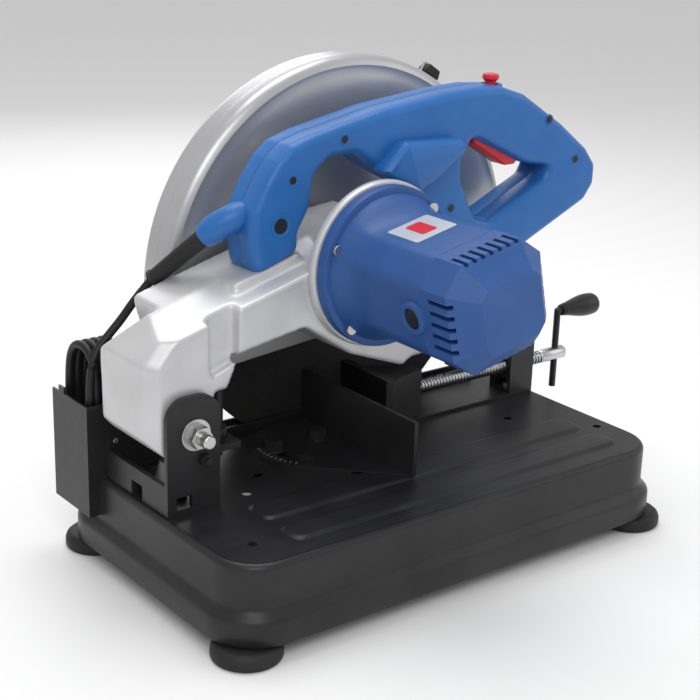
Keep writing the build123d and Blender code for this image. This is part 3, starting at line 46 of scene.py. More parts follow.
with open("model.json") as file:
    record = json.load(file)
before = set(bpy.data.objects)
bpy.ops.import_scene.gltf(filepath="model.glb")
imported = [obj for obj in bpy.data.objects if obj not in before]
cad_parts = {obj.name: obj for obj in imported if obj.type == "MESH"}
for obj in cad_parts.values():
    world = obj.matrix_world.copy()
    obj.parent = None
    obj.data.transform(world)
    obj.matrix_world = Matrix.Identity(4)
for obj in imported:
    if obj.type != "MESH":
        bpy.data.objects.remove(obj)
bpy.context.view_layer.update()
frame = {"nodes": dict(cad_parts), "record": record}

SPINDLE = np.array([33.0, 233.0])
GEAR_CENTRES = 62
GEAR_LEAN = math.radians(141.5)
MOTOR = np.array([33.0 + GEAR_CENTRES * math.cos(GEAR_LEAN), 233.0 + GEAR_CENTRES * math.sin(GEAR_LEAN)])
MOTOR_ROLL = math.radians(13.0)
BASE_TOP = 84.0


class Grain(Enum):
    """How the small relief of a finish is patterned."""

    ORANGE_PEEL = 1
    CAST = 2
    TURNED = 3
    WOVEN = 4
    SMOOTH = 5


@dataclass(frozen=True)
class Finish:
    """One surface finish: its colours, its gloss and its grain."""

    name: str
    slot: str
    colour: tuple[float, float, float]
    worn: tuple[float, float, float]
    metal: float
    rough: float
    grain: Grain
    scale: float
    relief: float

    def material(self) -> bpy.types.Material:
        """Build the node material once, and return it again on later calls."""
        found = bpy.data.materials.get(self.name)
        if found:
            return found
        made = bpy.data.materials.new(self.name)
        made.use_nodes = True
        tree = made.node_tree
        shader = tree.nodes["Principled BSDF"]
        shader.inputs["Metallic"].default_value = self.metal
        shader.inputs["Specular IOR Level"].default_value = 0.35
        place = tree.nodes.new("ShaderNodeTexCoord")
        cloud = self._noise(tree, place, 22.0, 4.0)
        blend = self._ramp(tree, cloud, 0.35, 0.75, self.colour, self.worn)
        tree.links.new(blend, shader.inputs["Base Color"])
        gloss = tree.nodes.new("ShaderNodeMapRange")
        gloss.inputs["To Min"].default_value = max(self.rough - 0.05, 0.05)
        gloss.inputs["To Max"].default_value = self.rough + 0.08
        tree.links.new(self._noise(tree, place, 90.0, 3.0), gloss.inputs["Value"])
        tree.links.new(gloss.outputs["Result"], shader.inputs["Roughness"])
        bump = tree.nodes.new("ShaderNodeBump")
        bump.inputs["Strength"].default_value = self.relief
        bump.inputs["Distance"].default_value = 0.0004
        tree.links.new(self._grain_height(tree, place), bump.inputs["Height"])
        tree.links.new(bump.outputs["Normal"], shader.inputs["Normal"])
        return made

    def _noise(self, tree: bpy.types.NodeTree, place: bpy.types.Node, scale: float,
               detail: float) -> bpy.types.NodeSocket:
        """Cloudy value on object coordinates.

        Args:
            tree: the material's nodes.
            place: the texture coordinates.
            scale: cells per metre.
            detail: octaves.

        Returns:
            The value socket.
        """
        noise = tree.nodes.new("ShaderNodeTexNoise")
        noise.inputs["Scale"].default_value = scale
        noise.inputs["Detail"].default_value = detail
        tree.links.new(place.outputs["Object"], noise.inputs["Vector"])
        return noise.outputs["Fac"]

    def _ramp(self, tree: bpy.types.NodeTree, value: bpy.types.NodeSocket, low: float, high: float,
              first: tuple, second: tuple) -> bpy.types.NodeSocket:
        """Colour that goes from first to second as value goes from low to high.

        Returns:
            The colour socket.
        """
        ramp = tree.nodes.new("ShaderNodeValToRGB")
        ramp.color_ramp.elements[0].position = low
        ramp.color_ramp.elements[1].position = high
        ramp.color_ramp.elements[0].color = (*first, 1)
        ramp.color_ramp.elements[1].color = (*second, 1)
        tree.links.new(value, ramp.inputs["Fac"])
        return ramp.outputs["Color"]

    def _grain_height(self, tree: bpy.types.NodeTree, place: bpy.types.Node) -> bpy.types.NodeSocket:
        """Height of the fine relief: cells for cast metal, lines for turned steel, crossed bands for mesh.

        Returns:
            The height socket.
        """
        if self.grain is Grain.WOVEN:
            bands = []
            for direction in ("X", "Z"):
                band = tree.nodes.new("ShaderNodeTexWave")
                band.bands_direction = direction
                band.inputs["Scale"].default_value = self.scale
                band.inputs["Distortion"].default_value = 0.6
                tree.links.new(place.outputs["Object"], band.inputs["Vector"])
                bands.append(band.outputs["Fac"])
            cross = tree.nodes.new("ShaderNodeMath")
            cross.operation = "MAXIMUM"
            tree.links.new(bands[0], cross.inputs[0])
            tree.links.new(bands[1], cross.inputs[1])
            return cross.outputs["Value"]
        if self.grain is Grain.TURNED:
            band = tree.nodes.new("ShaderNodeTexWave")
            band.bands_direction = "DIAGONAL"
            band.inputs["Scale"].default_value = self.scale
            band.inputs["Distortion"].default_value = 2.0
            tree.links.new(place.outputs["Object"], band.inputs["Vector"])
            return band.outputs["Fac"]
        return self._noise(tree, place, self.scale, 2.0 if self.grain is Grain.SMOOTH else 5.0)


POWDER = Finish("black_powder_coat", "black_paint", (0.012, 0.012, 0.013), (0.022, 0.022, 0.024), 0.0, 0.36,
                Grain.ORANGE_PEEL, 1400, 0.22)
CASTING = Finish("silver_casting", "cast_silver", (0.56, 0.56, 0.57), (0.66, 0.66, 0.67), 0.35, 0.36,
                 Grain.CAST, 900, 0.12)
SHELL = Finish("silver_shell", "guard_silver", (0.47, 0.47, 0.48), (0.50, 0.50, 0.51), 0.55, 0.3,
               Grain.ORANGE_PEEL, 700, 0.06)
MOTOR_BLUE = Finish("motor_blue_nylon", "motor_blue", (0.022, 0.080, 0.265), (0.030, 0.096, 0.300), 0.0, 0.42,
                    Grain.CAST, 2200, 0.2)
HANDLE_BLUE = Finish("handle_blue_nylon", "handle_blue", (0.018, 0.125, 0.390), (0.024, 0.145, 0.430), 0.0, 0.34,
                     Grain.CAST, 2000, 0.14)
RED = Finish("switch_red", "red_plastic", (0.62, 0.015, 0.025), (0.70, 0.025, 0.035), 0.0, 0.28,
             Grain.SMOOTH, 800, 0.05)
BLACK_PLASTIC = Finish("moulded_black", "black_plastic", (0.012, 0.012, 0.013), (0.02, 0.02, 0.021), 0.0, 0.3,
                       Grain.CAST, 1800, 0.1)
RUBBER = Finish("black_rubber_moulded", "black_rubber", (0.010, 0.010, 0.011), (0.018, 0.018, 0.019), 0.0, 0.55,
                Grain.CAST, 1500, 0.25)
SHEATH = Finish("cord_rubber", "cord_sheath", (0.008, 0.008, 0.009), (0.014, 0.014, 0.015), 0.0, 0.42,
                Grain.CAST, 1800, 0.15)
ZINC = Finish("zinc_plate", "zinc_steel", (0.50, 0.50, 0.50), (0.62, 0.62, 0.61), 1.0, 0.28, Grain.CAST, 1200, 0.08)
STEEL = Finish("turned_steel", "machined_steel", (0.50, 0.51, 0.52), (0.60, 0.61, 0.62), 1.0, 0.24,
               Grain.TURNED, 500, 0.06)
BEARING = Finish("bearing_rings", "bearing_steel", (0.60, 0.61, 0.62), (0.68, 0.69, 0.70), 1.0, 0.14,
                 Grain.TURNED, 300, 0.04)
ABRASIVE = Finish("abrasive_mesh", "abrasive", (0.012, 0.012, 0.012), (0.030, 0.029, 0.027), 0.0, 0.7,
                  Grain.WOVEN, 95, 1.0)
IRON = Finish("lamination_steel", "laminations", (0.10, 0.095, 0.09), (0.2, 0.19, 0.18), 0.8, 0.4,
              Grain.TURNED, 900, 0.3)
COPPER = Finish("copper_bars", "copper", (0.55, 0.25, 0.12), (0.66, 0.33, 0.18), 1.0, 0.3, Grain.TURNED, 400, 0.2)
FOIL = Finish("blank_foil", "label_foil", (0.55, 0.58, 0.63), (0.60, 0.63, 0.68), 0.4, 0.35, Grain.SMOOTH, 300, 0.02)
FINISHES = (POWDER, CASTING, SHELL, MOTOR_BLUE, HANDLE_BLUE, RED, BLACK_PLASTIC, RUBBER, SHEATH, ZINC, STEEL, BEARING,
            ABRASIVE, IRON, COPPER, FOIL)


# ------------------------------------------------------------------ shapes
def publish(name: str, mesh: bpy.types.Mesh, finish: Finish, body: str, replaced: Sequence[str] = (),
            smooth: float | None = None) -> bpy.types.Object:
    """Turn a final mesh into a piece of the model.

    Args:
        name: the piece's name.
        mesh: the mesh, in metres.
        finish: the finish it takes.
        body: the CAD body that carries it, or nothing for a piece that runs between bodies and is left unattached.
        replaced: CAD nodes that it stands for.
        smooth: edges sharper than this many degrees stay sharp; none are marked when it is left out.

    Returns:
        The finished object, at the origin.
    """
    mesh.shade_smooth()
    if smooth is not None:
        mesh.set_sharp_from_angle(angle=math.radians(smooth))
    mesh.materials.clear()
    mesh.materials.append(finish.material())
    piece = bpy.data.objects.new(name, mesh)
    bpy.context.scene.collection.objects.link(piece)
    if body:
        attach(piece, body)
    if replaced:
        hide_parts(*replaced)
    LOG.info("piece %s: %d faces", name, len(mesh.polygons))
    return piece


def put_piece(name: str, verts: Points, faces: Sequence, finish: Finish, body: str,
              replaced: Sequence[str] = (), smooth: float = 35.0, recalc: bool = False) -> bpy.types.Object:
    """Make a mesh object from vertices in millimetres, dress it and let it ride on a body.

    Args:
        name: the piece's name.
        verts: one row per vertex, in millimetres.
        faces: vertex indices of each face.
        finish: the finish it takes.
        body: the CAD body that carries it.
        replaced: CAD nodes that it stands for.
        smooth: angle in degrees under which edges are shaded smooth.
        recalc: whether the face directions are worked out again.

    Returns:
        The finished object, at the origin.
    """
    mesh = bpy.data.meshes.new(name)
    mesh.from_pydata((np.asarray(verts, float) * MM).tolist(), [], [tuple(int(i) for i in f) for f in faces])
    if recalc:
        turn_outwards(mesh)
    return publish(name, mesh, finish, body, replaced, smooth)


def turn_outwards(mesh: bpy.types.Mesh) -> None:
    """Merge doubles and make every face of a closed mesh point outwards."""
    shape = bmesh.new()
    shape.from_mesh(mesh)
    bmesh.ops.remove_doubles(shape, verts=shape.verts, dist=1e-6)
    bmesh.ops.recalc_face_normals(shape, faces=shape.faces)
    shape.to_mesh(mesh)
    shape.free()


def grid_faces(rows: int, cols: int, wrap_rows: bool = False, wrap_cols: bool = True, flip: bool = False) -> Points:
    """Quads of a grid whose vertex (i, j) has the index i * cols + j.

    Args:
        rows: vertices one way.
        cols: vertices the other way.
        wrap_rows: whether the last row joins the first.
        wrap_cols: whether the last column joins the first.
        flip: whether the quads face the other way.

    Returns:
        An array of four indices for each quad.
    """
    i, j = np.meshgrid(np.arange(rows if wrap_rows else rows - 1), np.arange(cols if wrap_cols else cols - 1),
                       indexing="ij")
    a, b = i * cols + j, i * cols + (j + 1) % cols
    c, d = ((i + 1) % rows) * cols + (j + 1) % cols, ((i + 1) % rows) * cols + j
    quads = np.stack([a, b, c, d], -1).reshape(-1, 4)
    return quads[:, ::-1] if flip else quads


def round_loop(points: Sequence, radius: float, steps: int = 6) -> Points:
    """Round each corner of a closed outline with the parabola B(s) = (1-s)^2 A + 2 s (1-s) P + s^2 B.

    Args:
        points: the corners P.
        radius: size of the rounding; it is held under 0.45 of the shorter side.
        steps: points on each corner.

    Returns:
        The rounded outline, one row per point.
    """
    p = np.asarray(points, float)
    before, after = np.roll(p, 1, 0) - p, np.roll(p, -1, 0) - p
    len_b, len_a = np.linalg.norm(before, axis=1), np.linalg.norm(after, axis=1)
    cosine = np.clip((before * after).sum(1) / (len_b * len_a), -1, 1)
    reach = np.minimum(radius / np.tan(np.arccos(cosine) / 2 + 1e-9), 0.45 * np.minimum(len_a, len_b))[:, None]
    a, b = p + before / len_b[:, None] * reach, p + after / len_a[:, None] * reach
    s = np.linspace(0, 1, steps)[None, :, None]
    return ((1 - s) ** 2 * a[:, None] + 2 * s * (1 - s) * p[:, None] + s ** 2 * b[:, None]).reshape(-1, 2)


def circle(x: float, z: float, radius: float, count: int = 32) -> Points:
    """Closed circle about (x, z)."""
    t = np.linspace(0, 2 * np.pi, count, endpoint=False)
    return np.stack([x + radius * np.cos(t), z + radius * np.sin(t)], 1)


def wound(loop: Points, outer: bool) -> Points:
    """Outline run anticlockwise when it is the outer one, and clockwise when it is a hole."""
    x, z = loop[:, 0], loop[:, 1]
    area = (x * np.roll(z, -1) - np.roll(x, -1) * z).sum()
    return loop if (area > 0) == outer else loop[::-1]


def drawn_in(loop: Points, inset: float) -> Points:
    """Outline moved into the material: each point slides along the mean of its two edge normals."""
    edge = np.roll(loop, -1, 0) - loop
    normal = np.stack([edge[:, 1], -edge[:, 0]], 1) / (np.linalg.norm(edge, axis=1)[:, None] + 1e-9)
    mean = normal + np.roll(normal, 1, 0)
    mean /= np.maximum((mean ** 2).sum(1)[:, None] / 2, 0.4)
    return loop - mean * inset


class Lie(Enum):
    """Direction in which a slab is thick."""

    ALONG_X = (1, 2, 0)
    ALONG_Y = (0, 2, 1)
    ALONG_Z = (0, 1, 2)


def slab(name: str, loops: Sequence[Points], levels: Sequence[tuple[float, float]], lie: Lie, finish: Finish,
         body: str, replaced: Sequence[str] = (), caps: tuple[bool, bool] = (True, True),
         smooth: float = 35.0) -> bpy.types.Object:
    """Plate with rounded edges: the outlines are drawn in at each level, and the ends are filled.

    Args:
        name: the piece's name.
        loops: the outer outline, then the holes.
        levels: pairs of height and inset, from the low end to the high end.
        lie: the direction of the heights.
        finish: the finish it takes.
        body: the CAD body that carries it.
        replaced: CAD nodes that it stands for.
        caps: whether the low and the high end are closed.
        smooth: shading angle in degrees.

    Returns:
        The finished object.
    """
    order = lie.value
    height, inset = np.asarray(levels, float).T
    verts, faces, rims, used = [], [], ([], []), 0
    for number, loop in enumerate(loops):
        loop = wound(np.asarray(loop, float), number == 0)
        flat = np.stack([drawn_in(loop, step) for step in inset])
        rows = np.zeros((*flat.shape[:2], 3))
        rows[..., order[0]], rows[..., order[1]], rows[..., order[2]] = flat[..., 0], flat[..., 1], height[:, None]
        verts.append(rows.reshape(-1, 3))
        faces.append(grid_faces(len(levels), len(loop)) + used)
        ring = np.arange(len(loop))
        for rim, first in zip(rims, (used, used + (len(levels) - 1) * len(loop))):
            rim.append(first + np.stack([ring, np.roll(ring, -1)], 1))
        used += len(levels) * len(loop)
    mesh = bpy.data.meshes.new(name)
    mesh.from_pydata((np.concatenate(verts) * MM).tolist(), [], np.concatenate(faces).tolist())
    shape = bmesh.new()
    shape.from_mesh(mesh)
    shape.verts.ensure_lookup_table()
    for rim, closed in zip(rims, caps):
        if closed:
            edges = [shape.edges.get((shape.verts[a], shape.verts[b])) for a, b in np.concatenate(rim).tolist()]
            bmesh.ops.triangle_fill(shape, edges=edges, use_beauty=True)
    bmesh.ops.recalc_face_normals(shape, faces=shape.faces)
    shape.to_mesh(mesh)
    shape.free()
    return publish(name, mesh, finish, body, replaced, smooth)


def lathe(name: str, centre: tuple[float, float, float], profile: Sequence[tuple[float, float]], lie: Lie,
          finish: Finish, body: str, replaced: Sequence[str] = (), count: int = 48,
          smooth: float = 35.0) -> bpy.types.Object:
    """Turned piece: a profile of (radius, height) pairs carried round an axis through centre.

    Args:
        name: the piece's name.
        centre: a point on the axis, from which heights count.
        profile: pairs of radius and height, in order along the surface.
        lie: the direction of the axis.
        finish: the finish it takes.
        body: the CAD body that carries it.
        replaced: CAD nodes that it stands for.
        count: points round the axis.
        smooth: shading angle in degrees.

    Returns:
        The finished object.
    """
    radius, height = np.asarray(profile, float).T
    turn = np.linspace(0, 2 * np.pi, count, endpoint=False)
    order = lie.value
    verts = np.zeros((len(radius), count, 3))
    verts[..., order[0]] = centre[order[0]] + radius[:, None] * np.cos(turn)
    verts[..., order[1]] = centre[order[1]] + radius[:, None] * np.sin(turn)
    verts[..., order[2]] = centre[order[2]] + height[:, None]
    return put_piece(name, verts.reshape(-1, 3), grid_faces(len(radius), count), finish, body, replaced, smooth, True)


def carried_tube(name: str, path: Points, radius: Points, finish: Finish, body: str,
                 replaced: Sequence[str] = (), count: int = 20) -> bpy.types.Object:
    """Round tube along a path, closed at both ends; each ring stands square to the path there.

    Args:
        name: the piece's name.
        path: centreline, one row per ring.
        radius: one radius per ring.
        finish: the finish it takes.
        body: the CAD body that carries it, or nothing for a tube that runs between bodies and is left unattached.
        replaced: CAD nodes that it stands for.
        count: points round each ring.

    Returns:
        The finished object.
    """
    along = np.gradient(path, axis=0)
    along /= np.linalg.norm(along, axis=1)[:, None]
    side = np.cross(along, [0.31, 0.22, 0.92])
    side /= np.linalg.norm(side, axis=1)[:, None]
    other = np.cross(along, side)
    turn = np.linspace(0, 2 * np.pi, count, endpoint=False)
    rings = path[:, None] + radius[:, None, None] * (side[:, None] * np.cos(turn)[None, :, None]
                                                     + other[:, None] * np.sin(turn)[None, :, None])
    verts = np.concatenate([rings.reshape(-1, 3), path[:1], path[-1:]])
    last = len(path) * count
    j = np.arange(count)
    start = np.stack([np.full(count, last), (j + 1) % count, j], 1)
    end = np.stack([np.full(count, last + 1), last - count + j, last - count + (j + 1) % count], 1)
    faces = [*grid_faces(len(path), count).tolist(), *start.tolist(), *end.tolist()]
    return put_piece(name, verts, faces, finish, body, replaced, 40, True)


def softened(node: str, finish: Finish, body: str, width: float, segments: int = 2,
             angle: float = 28.0) -> bpy.types.Object:
    """Copy of a CAD node with its edges rounded, standing for the node.

    Args:
        node: the CAD node.
        finish: the finish it takes.
        body: the body that carries it.
        width: rounding in millimetres.
        segments: steps across each rounding.
        angle: edges sharper than this many degrees are rounded.

    Returns:
        The finished object.
    """
    mesh = frame["nodes"][node].data.copy()
    mesh.name = node + "_finished"
    shape = bmesh.new()
    shape.from_mesh(mesh)
    bmesh.ops.remove_doubles(shape, verts=shape.verts, dist=1e-6)
    bmesh.ops.dissolve_limit(shape, angle_limit=math.radians(0.6), verts=shape.verts, edges=shape.edges)
    shape.to_mesh(mesh)
    shape.free()
    piece = publish(node + "_finished", mesh, finish, body, [node])
    bevel = piece.modifiers.new("edges", "BEVEL")
    bevel.width = width * MM
    bevel.segments = segments
    bevel.limit_method = "ANGLE"
    bevel.angle_limit = math.radians(angle)
    bevel.use_clamp_overlap = True
    bevel.harden_normals = False
    even = piece.modifiers.new("normals", "WEIGHTED_NORMAL")
    even.keep_sharp = True
    return piece


def cast_from(node: str, finish: Finish, body: str, cell: float, passes: int) -> bpy.types.Object:
    """Casting grown from a CAD node: its surface is laid out again in even cells, then relaxed so edges go soft.

    Args:
        node: the CAD node.
        finish: the finish it takes.
        body: the body that carries it.
        cell: cell size in millimetres.
        passes: relaxing passes.

    Returns:
        The finished object, its modifiers applied.
    """
    rough = bpy.data.objects.new(node + "_rough", frame["nodes"][node].data.copy())
    bpy.context.scene.collection.objects.link(rough)
    even = rough.modifiers.new("cells", "REMESH")
    even.mode = "VOXEL"
    even.voxel_size = cell * MM
    relax = rough.modifiers.new("relax", "SMOOTH")
    relax.factor = 0.5
    relax.iterations = passes
    bpy.context.view_layer.update()
    mesh = bpy.data.meshes.new_from_object(rough.evaluated_get(bpy.context.evaluated_depsgraph_get()))
    bpy.data.objects.remove(rough)
    mesh.name = node + "_cast"
    return publish(node + "_cast", mesh, finish, body, [node])


# ------------------------------------------------------------------ sub-assemblies
@dataclass
class Base:
    """Pressed steel base, its feet, pivot bracket, rails and rear plate."""

    length: float = 500.0
    width: float = 298.0
    corner: float = 48.0
    sheet: float = 2.5

    def build(self) -> None:
        """Make every piece of the base."""
        self.pan()
        self.ribs()
        self.feet()
        for node, width in (("pivot_bracket", 1.0), ("spark_deflector", 0.5), ("slot_rails", 0.8)):
            softened(node, POWDER, "base", width)
        for node in ("bracket_bolts", "spring_pin", "stop_bolt"):
            softened(node, POWDER, "base", 0.5)
        for node in ("pivot_bolt", "pivot_nut", "thrust_washers", "deflector_screws", "foot_screws"):
            softened(node, ZINC, "base", 0.5)
        self.spring()

    def pan(self) -> None:
        """Drawn shell: the outline is drawn in by the profile's insets, and the top is filled round its holes."""
        half_x, half_y = self.length / 2, self.width / 2
        turn = np.linspace(0, np.pi / 2, 12)
        arc = np.stack([np.cos(turn), np.sin(turn)], 1) * self.corner
        corners = []
        for quarter, (sx, sy) in enumerate(((1, 1), (-1, 1), (-1, -1), (1, -1))):
            spin = quarter * np.pi / 2
            turned = arc @ np.array([[np.cos(spin), np.sin(spin)], [-np.sin(spin), np.cos(spin)]])
            corners.append(turned + [sx * (half_x - self.corner), sy * (half_y - self.corner)])
        outline = np.concatenate(corners)
        bow = np.linspace(0, np.pi / 2, 7)
        levels = [(14.0, 24.0), (14.0, 4.0), (14.6, 1.4), (16.5, 0.0), (34.0, 0.0), (36.6, 0.5), (38.6, 2.0),
                  (42.6, 6.0), (44.4, 7.3), (46.8, 8.0)]
        levels += [(BASE_TOP - 6 + 6 * math.sin(b), 14 - 6 * math.cos(b)) for b in bow]
        skirt = slab("base_pan_shell", [outline], levels, Lie.ALONG_Z, POWDER, "base", ["base_pan"],
                     (False, False), 40)
        holes = [circle(x, y, r) for x, y, r in (
            (-153, -16, 4), (-204, -100, 4), (222, -75, 4), (188, -111, 4), (163, -10, 4), (-122, 12, 4))]
        slot = round_loop([(-112.5, 105), (178.5, 105), (178.5, 119), (-112.5, 119)], 3)
        plate = slab("base_pan_top", [drawn_in(outline, 14.0), slot, *holes],
                     [(BASE_TOP - 0.01, 0.0), (BASE_TOP, 0.0)], Lie.ALONG_Z, POWDER, "base", (), (False, True), 40)
        for piece in (skirt, plate):
            wall = piece.modifiers.new("sheet", "SOLIDIFY")
            wall.thickness = self.sheet * MM
            wall.offset = -1.0

    def ribs(self) -> None:
        """Two long raised ribs in the top, with soft shoulders."""
        for number, (x, y, length, width) in enumerate(((19, -55, 378, 34), (19, -102, 380, 30))):
            a, b = length / 2, width / 2
            loop = round_loop([(x - a, y - b), (x + a, y - b), (x + a, y + b), (x - a, y + b)], 12, 8)
            slab(f"base_rib_{number}", [loop], [(BASE_TOP - 0.4, -1.2), (BASE_TOP, -0.6), (BASE_TOP + 0.7, 0.6),
                 (BASE_TOP + 1.6, 1.8), (BASE_TOP + 2.1, 3.2), (BASE_TOP + 2.2, 4.6)], Lie.ALONG_Z, POWDER, "base",
                 (), (False, True), 50)

    def feet(self) -> None:
        """Four rubber feet with a rolled edge and a recess underneath."""
        spots = [(sx * 224.0, sy * 123.0) for sx in (-1, 1) for sy in (-1, 1)]
        profile = [(3.4, 13.9), (3.4, 8), (9, 8), (9, 0.8), (9.8, 0), (27.0, 0), (29.2, 1.0), (30, 3), (30, 8),
                   (28.8, 11.2), (26.5, 13.2), (24, 13.9), (3.4, 13.9)]
        for number, (x, y) in enumerate(spots):
            lathe(f"foot_{number}", (x, y, 0), profile, Lie.ALONG_Z, RUBBER, "base",
                  ["rubber_feet"] if number == 0 else ())

    def spring(self) -> None:
        """Torsion spring round the pivot: a wire helix."""
        turns, wire = 7, 1.9
        t = np.linspace(0, turns * 2 * np.pi, turns * 24)
        path = np.stack([-209 + 15.2 * np.cos(t), 14 + 34 * t / t[-1], 154 + 15.2 * np.sin(t)], 1)
        carried_tube("return_spring_coil", path, np.full(len(t), wire), STEEL, "base", ["return_spring"], 10)


@dataclass
class Fence:
    """Work fence with its angle quadrant and the bolts that hold it."""

    pivot: tuple[float, float] = (-34.0, 42.0)
    mark_radius: float = 55.5

    def build(self) -> None:
        """Make the fence, its bolts and the scale marks."""
        softened("fence_plate", POWDER, "fence", 0.8)
        softened("fence_bolts", POWDER, "base", 0.6)
        verts, faces = [], []
        for step in range(10):
            turn = math.radians(172 + 5 * step - 2)
            reach = 2.6 if step % 3 else 4.0
            along = np.array([math.cos(turn), math.sin(turn)])
            side = np.array([-along[1], along[0]]) * 0.35
            far = np.array(self.pivot) + along * (self.mark_radius + 4.2 + 2.5)
            near = far - along * reach
            start = len(verts)
            for height in (88.0, 88.12):
                verts += [[*(near - side), height], [*(far - side), height], [*(far + side), height],
                          [*(near + side), height]]
            faces += [[start + i for i in quad] for quad in
                      ((3, 2, 1, 0), (4, 5, 6, 7), (0, 1, 5, 4), (1, 2, 6, 5), (2, 3, 7, 6), (3, 0, 4, 7))]
        put_piece("quadrant_marks", np.array(verts), faces, FOIL, "fence")


@dataclass
class Vise:
    """Screw vise: rail, post, nut, jaw, screw, crank and release lever."""

    y: float = 49.0
    z: float = 113.0
    pitch: float = 4.0
    start: float = 89.0
    end: float = 262.0

    def build(self) -> None:
        """Make every piece of the vise."""
        for node in ("vise_rail", "vise_post", "nut_block"):
            softened(node, POWDER, "base", 0.6)
        softened("post_bolts", ZINC, "base", 0.4)
        softened("release_lever", POWDER, "lever", 1.0)
        softened("vise_jaw", POWDER, "jaw", 1.2)
        softened("crank_bar", POWDER, "crank", 0.4)
        self.screw()
        self.knob()

    def screw(self) -> None:
        """Threaded bar: the radius is a clipped triangle wave of (x / pitch - angle / one turn)."""
        rows = int((self.end - self.start) / self.pitch * 10)
        x = np.linspace(self.start, self.end, rows)[:, None]
        turn = np.linspace(0, 2 * np.pi, 36, endpoint=False)[None, :]
        phase = (x / self.pitch - turn / (2 * np.pi)) % 1.0
        tooth = np.clip((np.abs(phase - 0.5) * 2 - 0.5) * 2.2 + 0.5, 0, 1)
        radius = 7.0 - 1.5 * tooth
        edge = np.minimum(x - self.start, self.end - x)
        radius = np.minimum(radius, 5.6 + np.clip(edge, 0, 2))
        verts = np.stack([np.broadcast_to(x, radius.shape), self.y + radius * np.cos(turn),
                          self.z + radius * np.sin(turn)], -1).reshape(-1, 3)
        put_piece("vise_screw_thread", self._closed(verts, 36), self._closed_faces(rows, 36), STEEL, "crank",
                  ["vise_screw"], 50, True)
        lathe("vise_screw_head", (0, self.y, self.z), [(0.01, 261), (6.2, 261), (6.9, 262), (6.9, 294), (5.6, 296),
              (0.01, 296)], Lie.ALONG_X, STEEL, "crank")
        lathe("vise_screw_journal", (0, self.y, self.z), [(0.01, 58), (4.2, 58), (4.95, 59), (4.95, 90), (0.01, 90)],
              Lie.ALONG_X, STEEL, "crank")

    def _closed(self, verts: Points, count: int) -> Points:
        """Grid vertices with a middle point added at each end."""
        return np.concatenate([verts, verts[:count].mean(0)[None], verts[-count:].mean(0)[None]])

    def _closed_faces(self, rows: int, count: int) -> list:
        """Faces of a tube grid and the fans that close its ends."""
        j = np.arange(count)
        last = rows * count
        start = np.stack([np.full(count, last), (j + 1) % count, j], 1).tolist()
        stop = np.stack([np.full(count, last + 1), last - count + j, last - count + (j + 1) % count], 1).tolist()
        return [*grid_faces(rows, count).tolist(), *start, *stop]

    def knob(self) -> None:
        """Turned crank grip: its radius follows a sine bulge that thins towards the bar."""
        s = np.linspace(0, 1, 26)
        bulge = 6.5 + 6.2 * np.sin(np.pi * np.clip(s * 0.82, 0, 1)) * s ** 0.35
        close = np.sqrt(np.clip(1 - np.clip((s - 0.86) / 0.14, 0, 1) ** 2, 0, 1))
        profile = [(0.01, 292.3), *zip((bulge * close + 0.01).tolist(), (292.3 + 49.4 * s).tolist())]
        lathe("crank_grip", (0, self.y, self.z + 47), profile, Lie.ALONG_X, BLACK_PLASTIC, "crank_grip",
              ["crank_knob"])


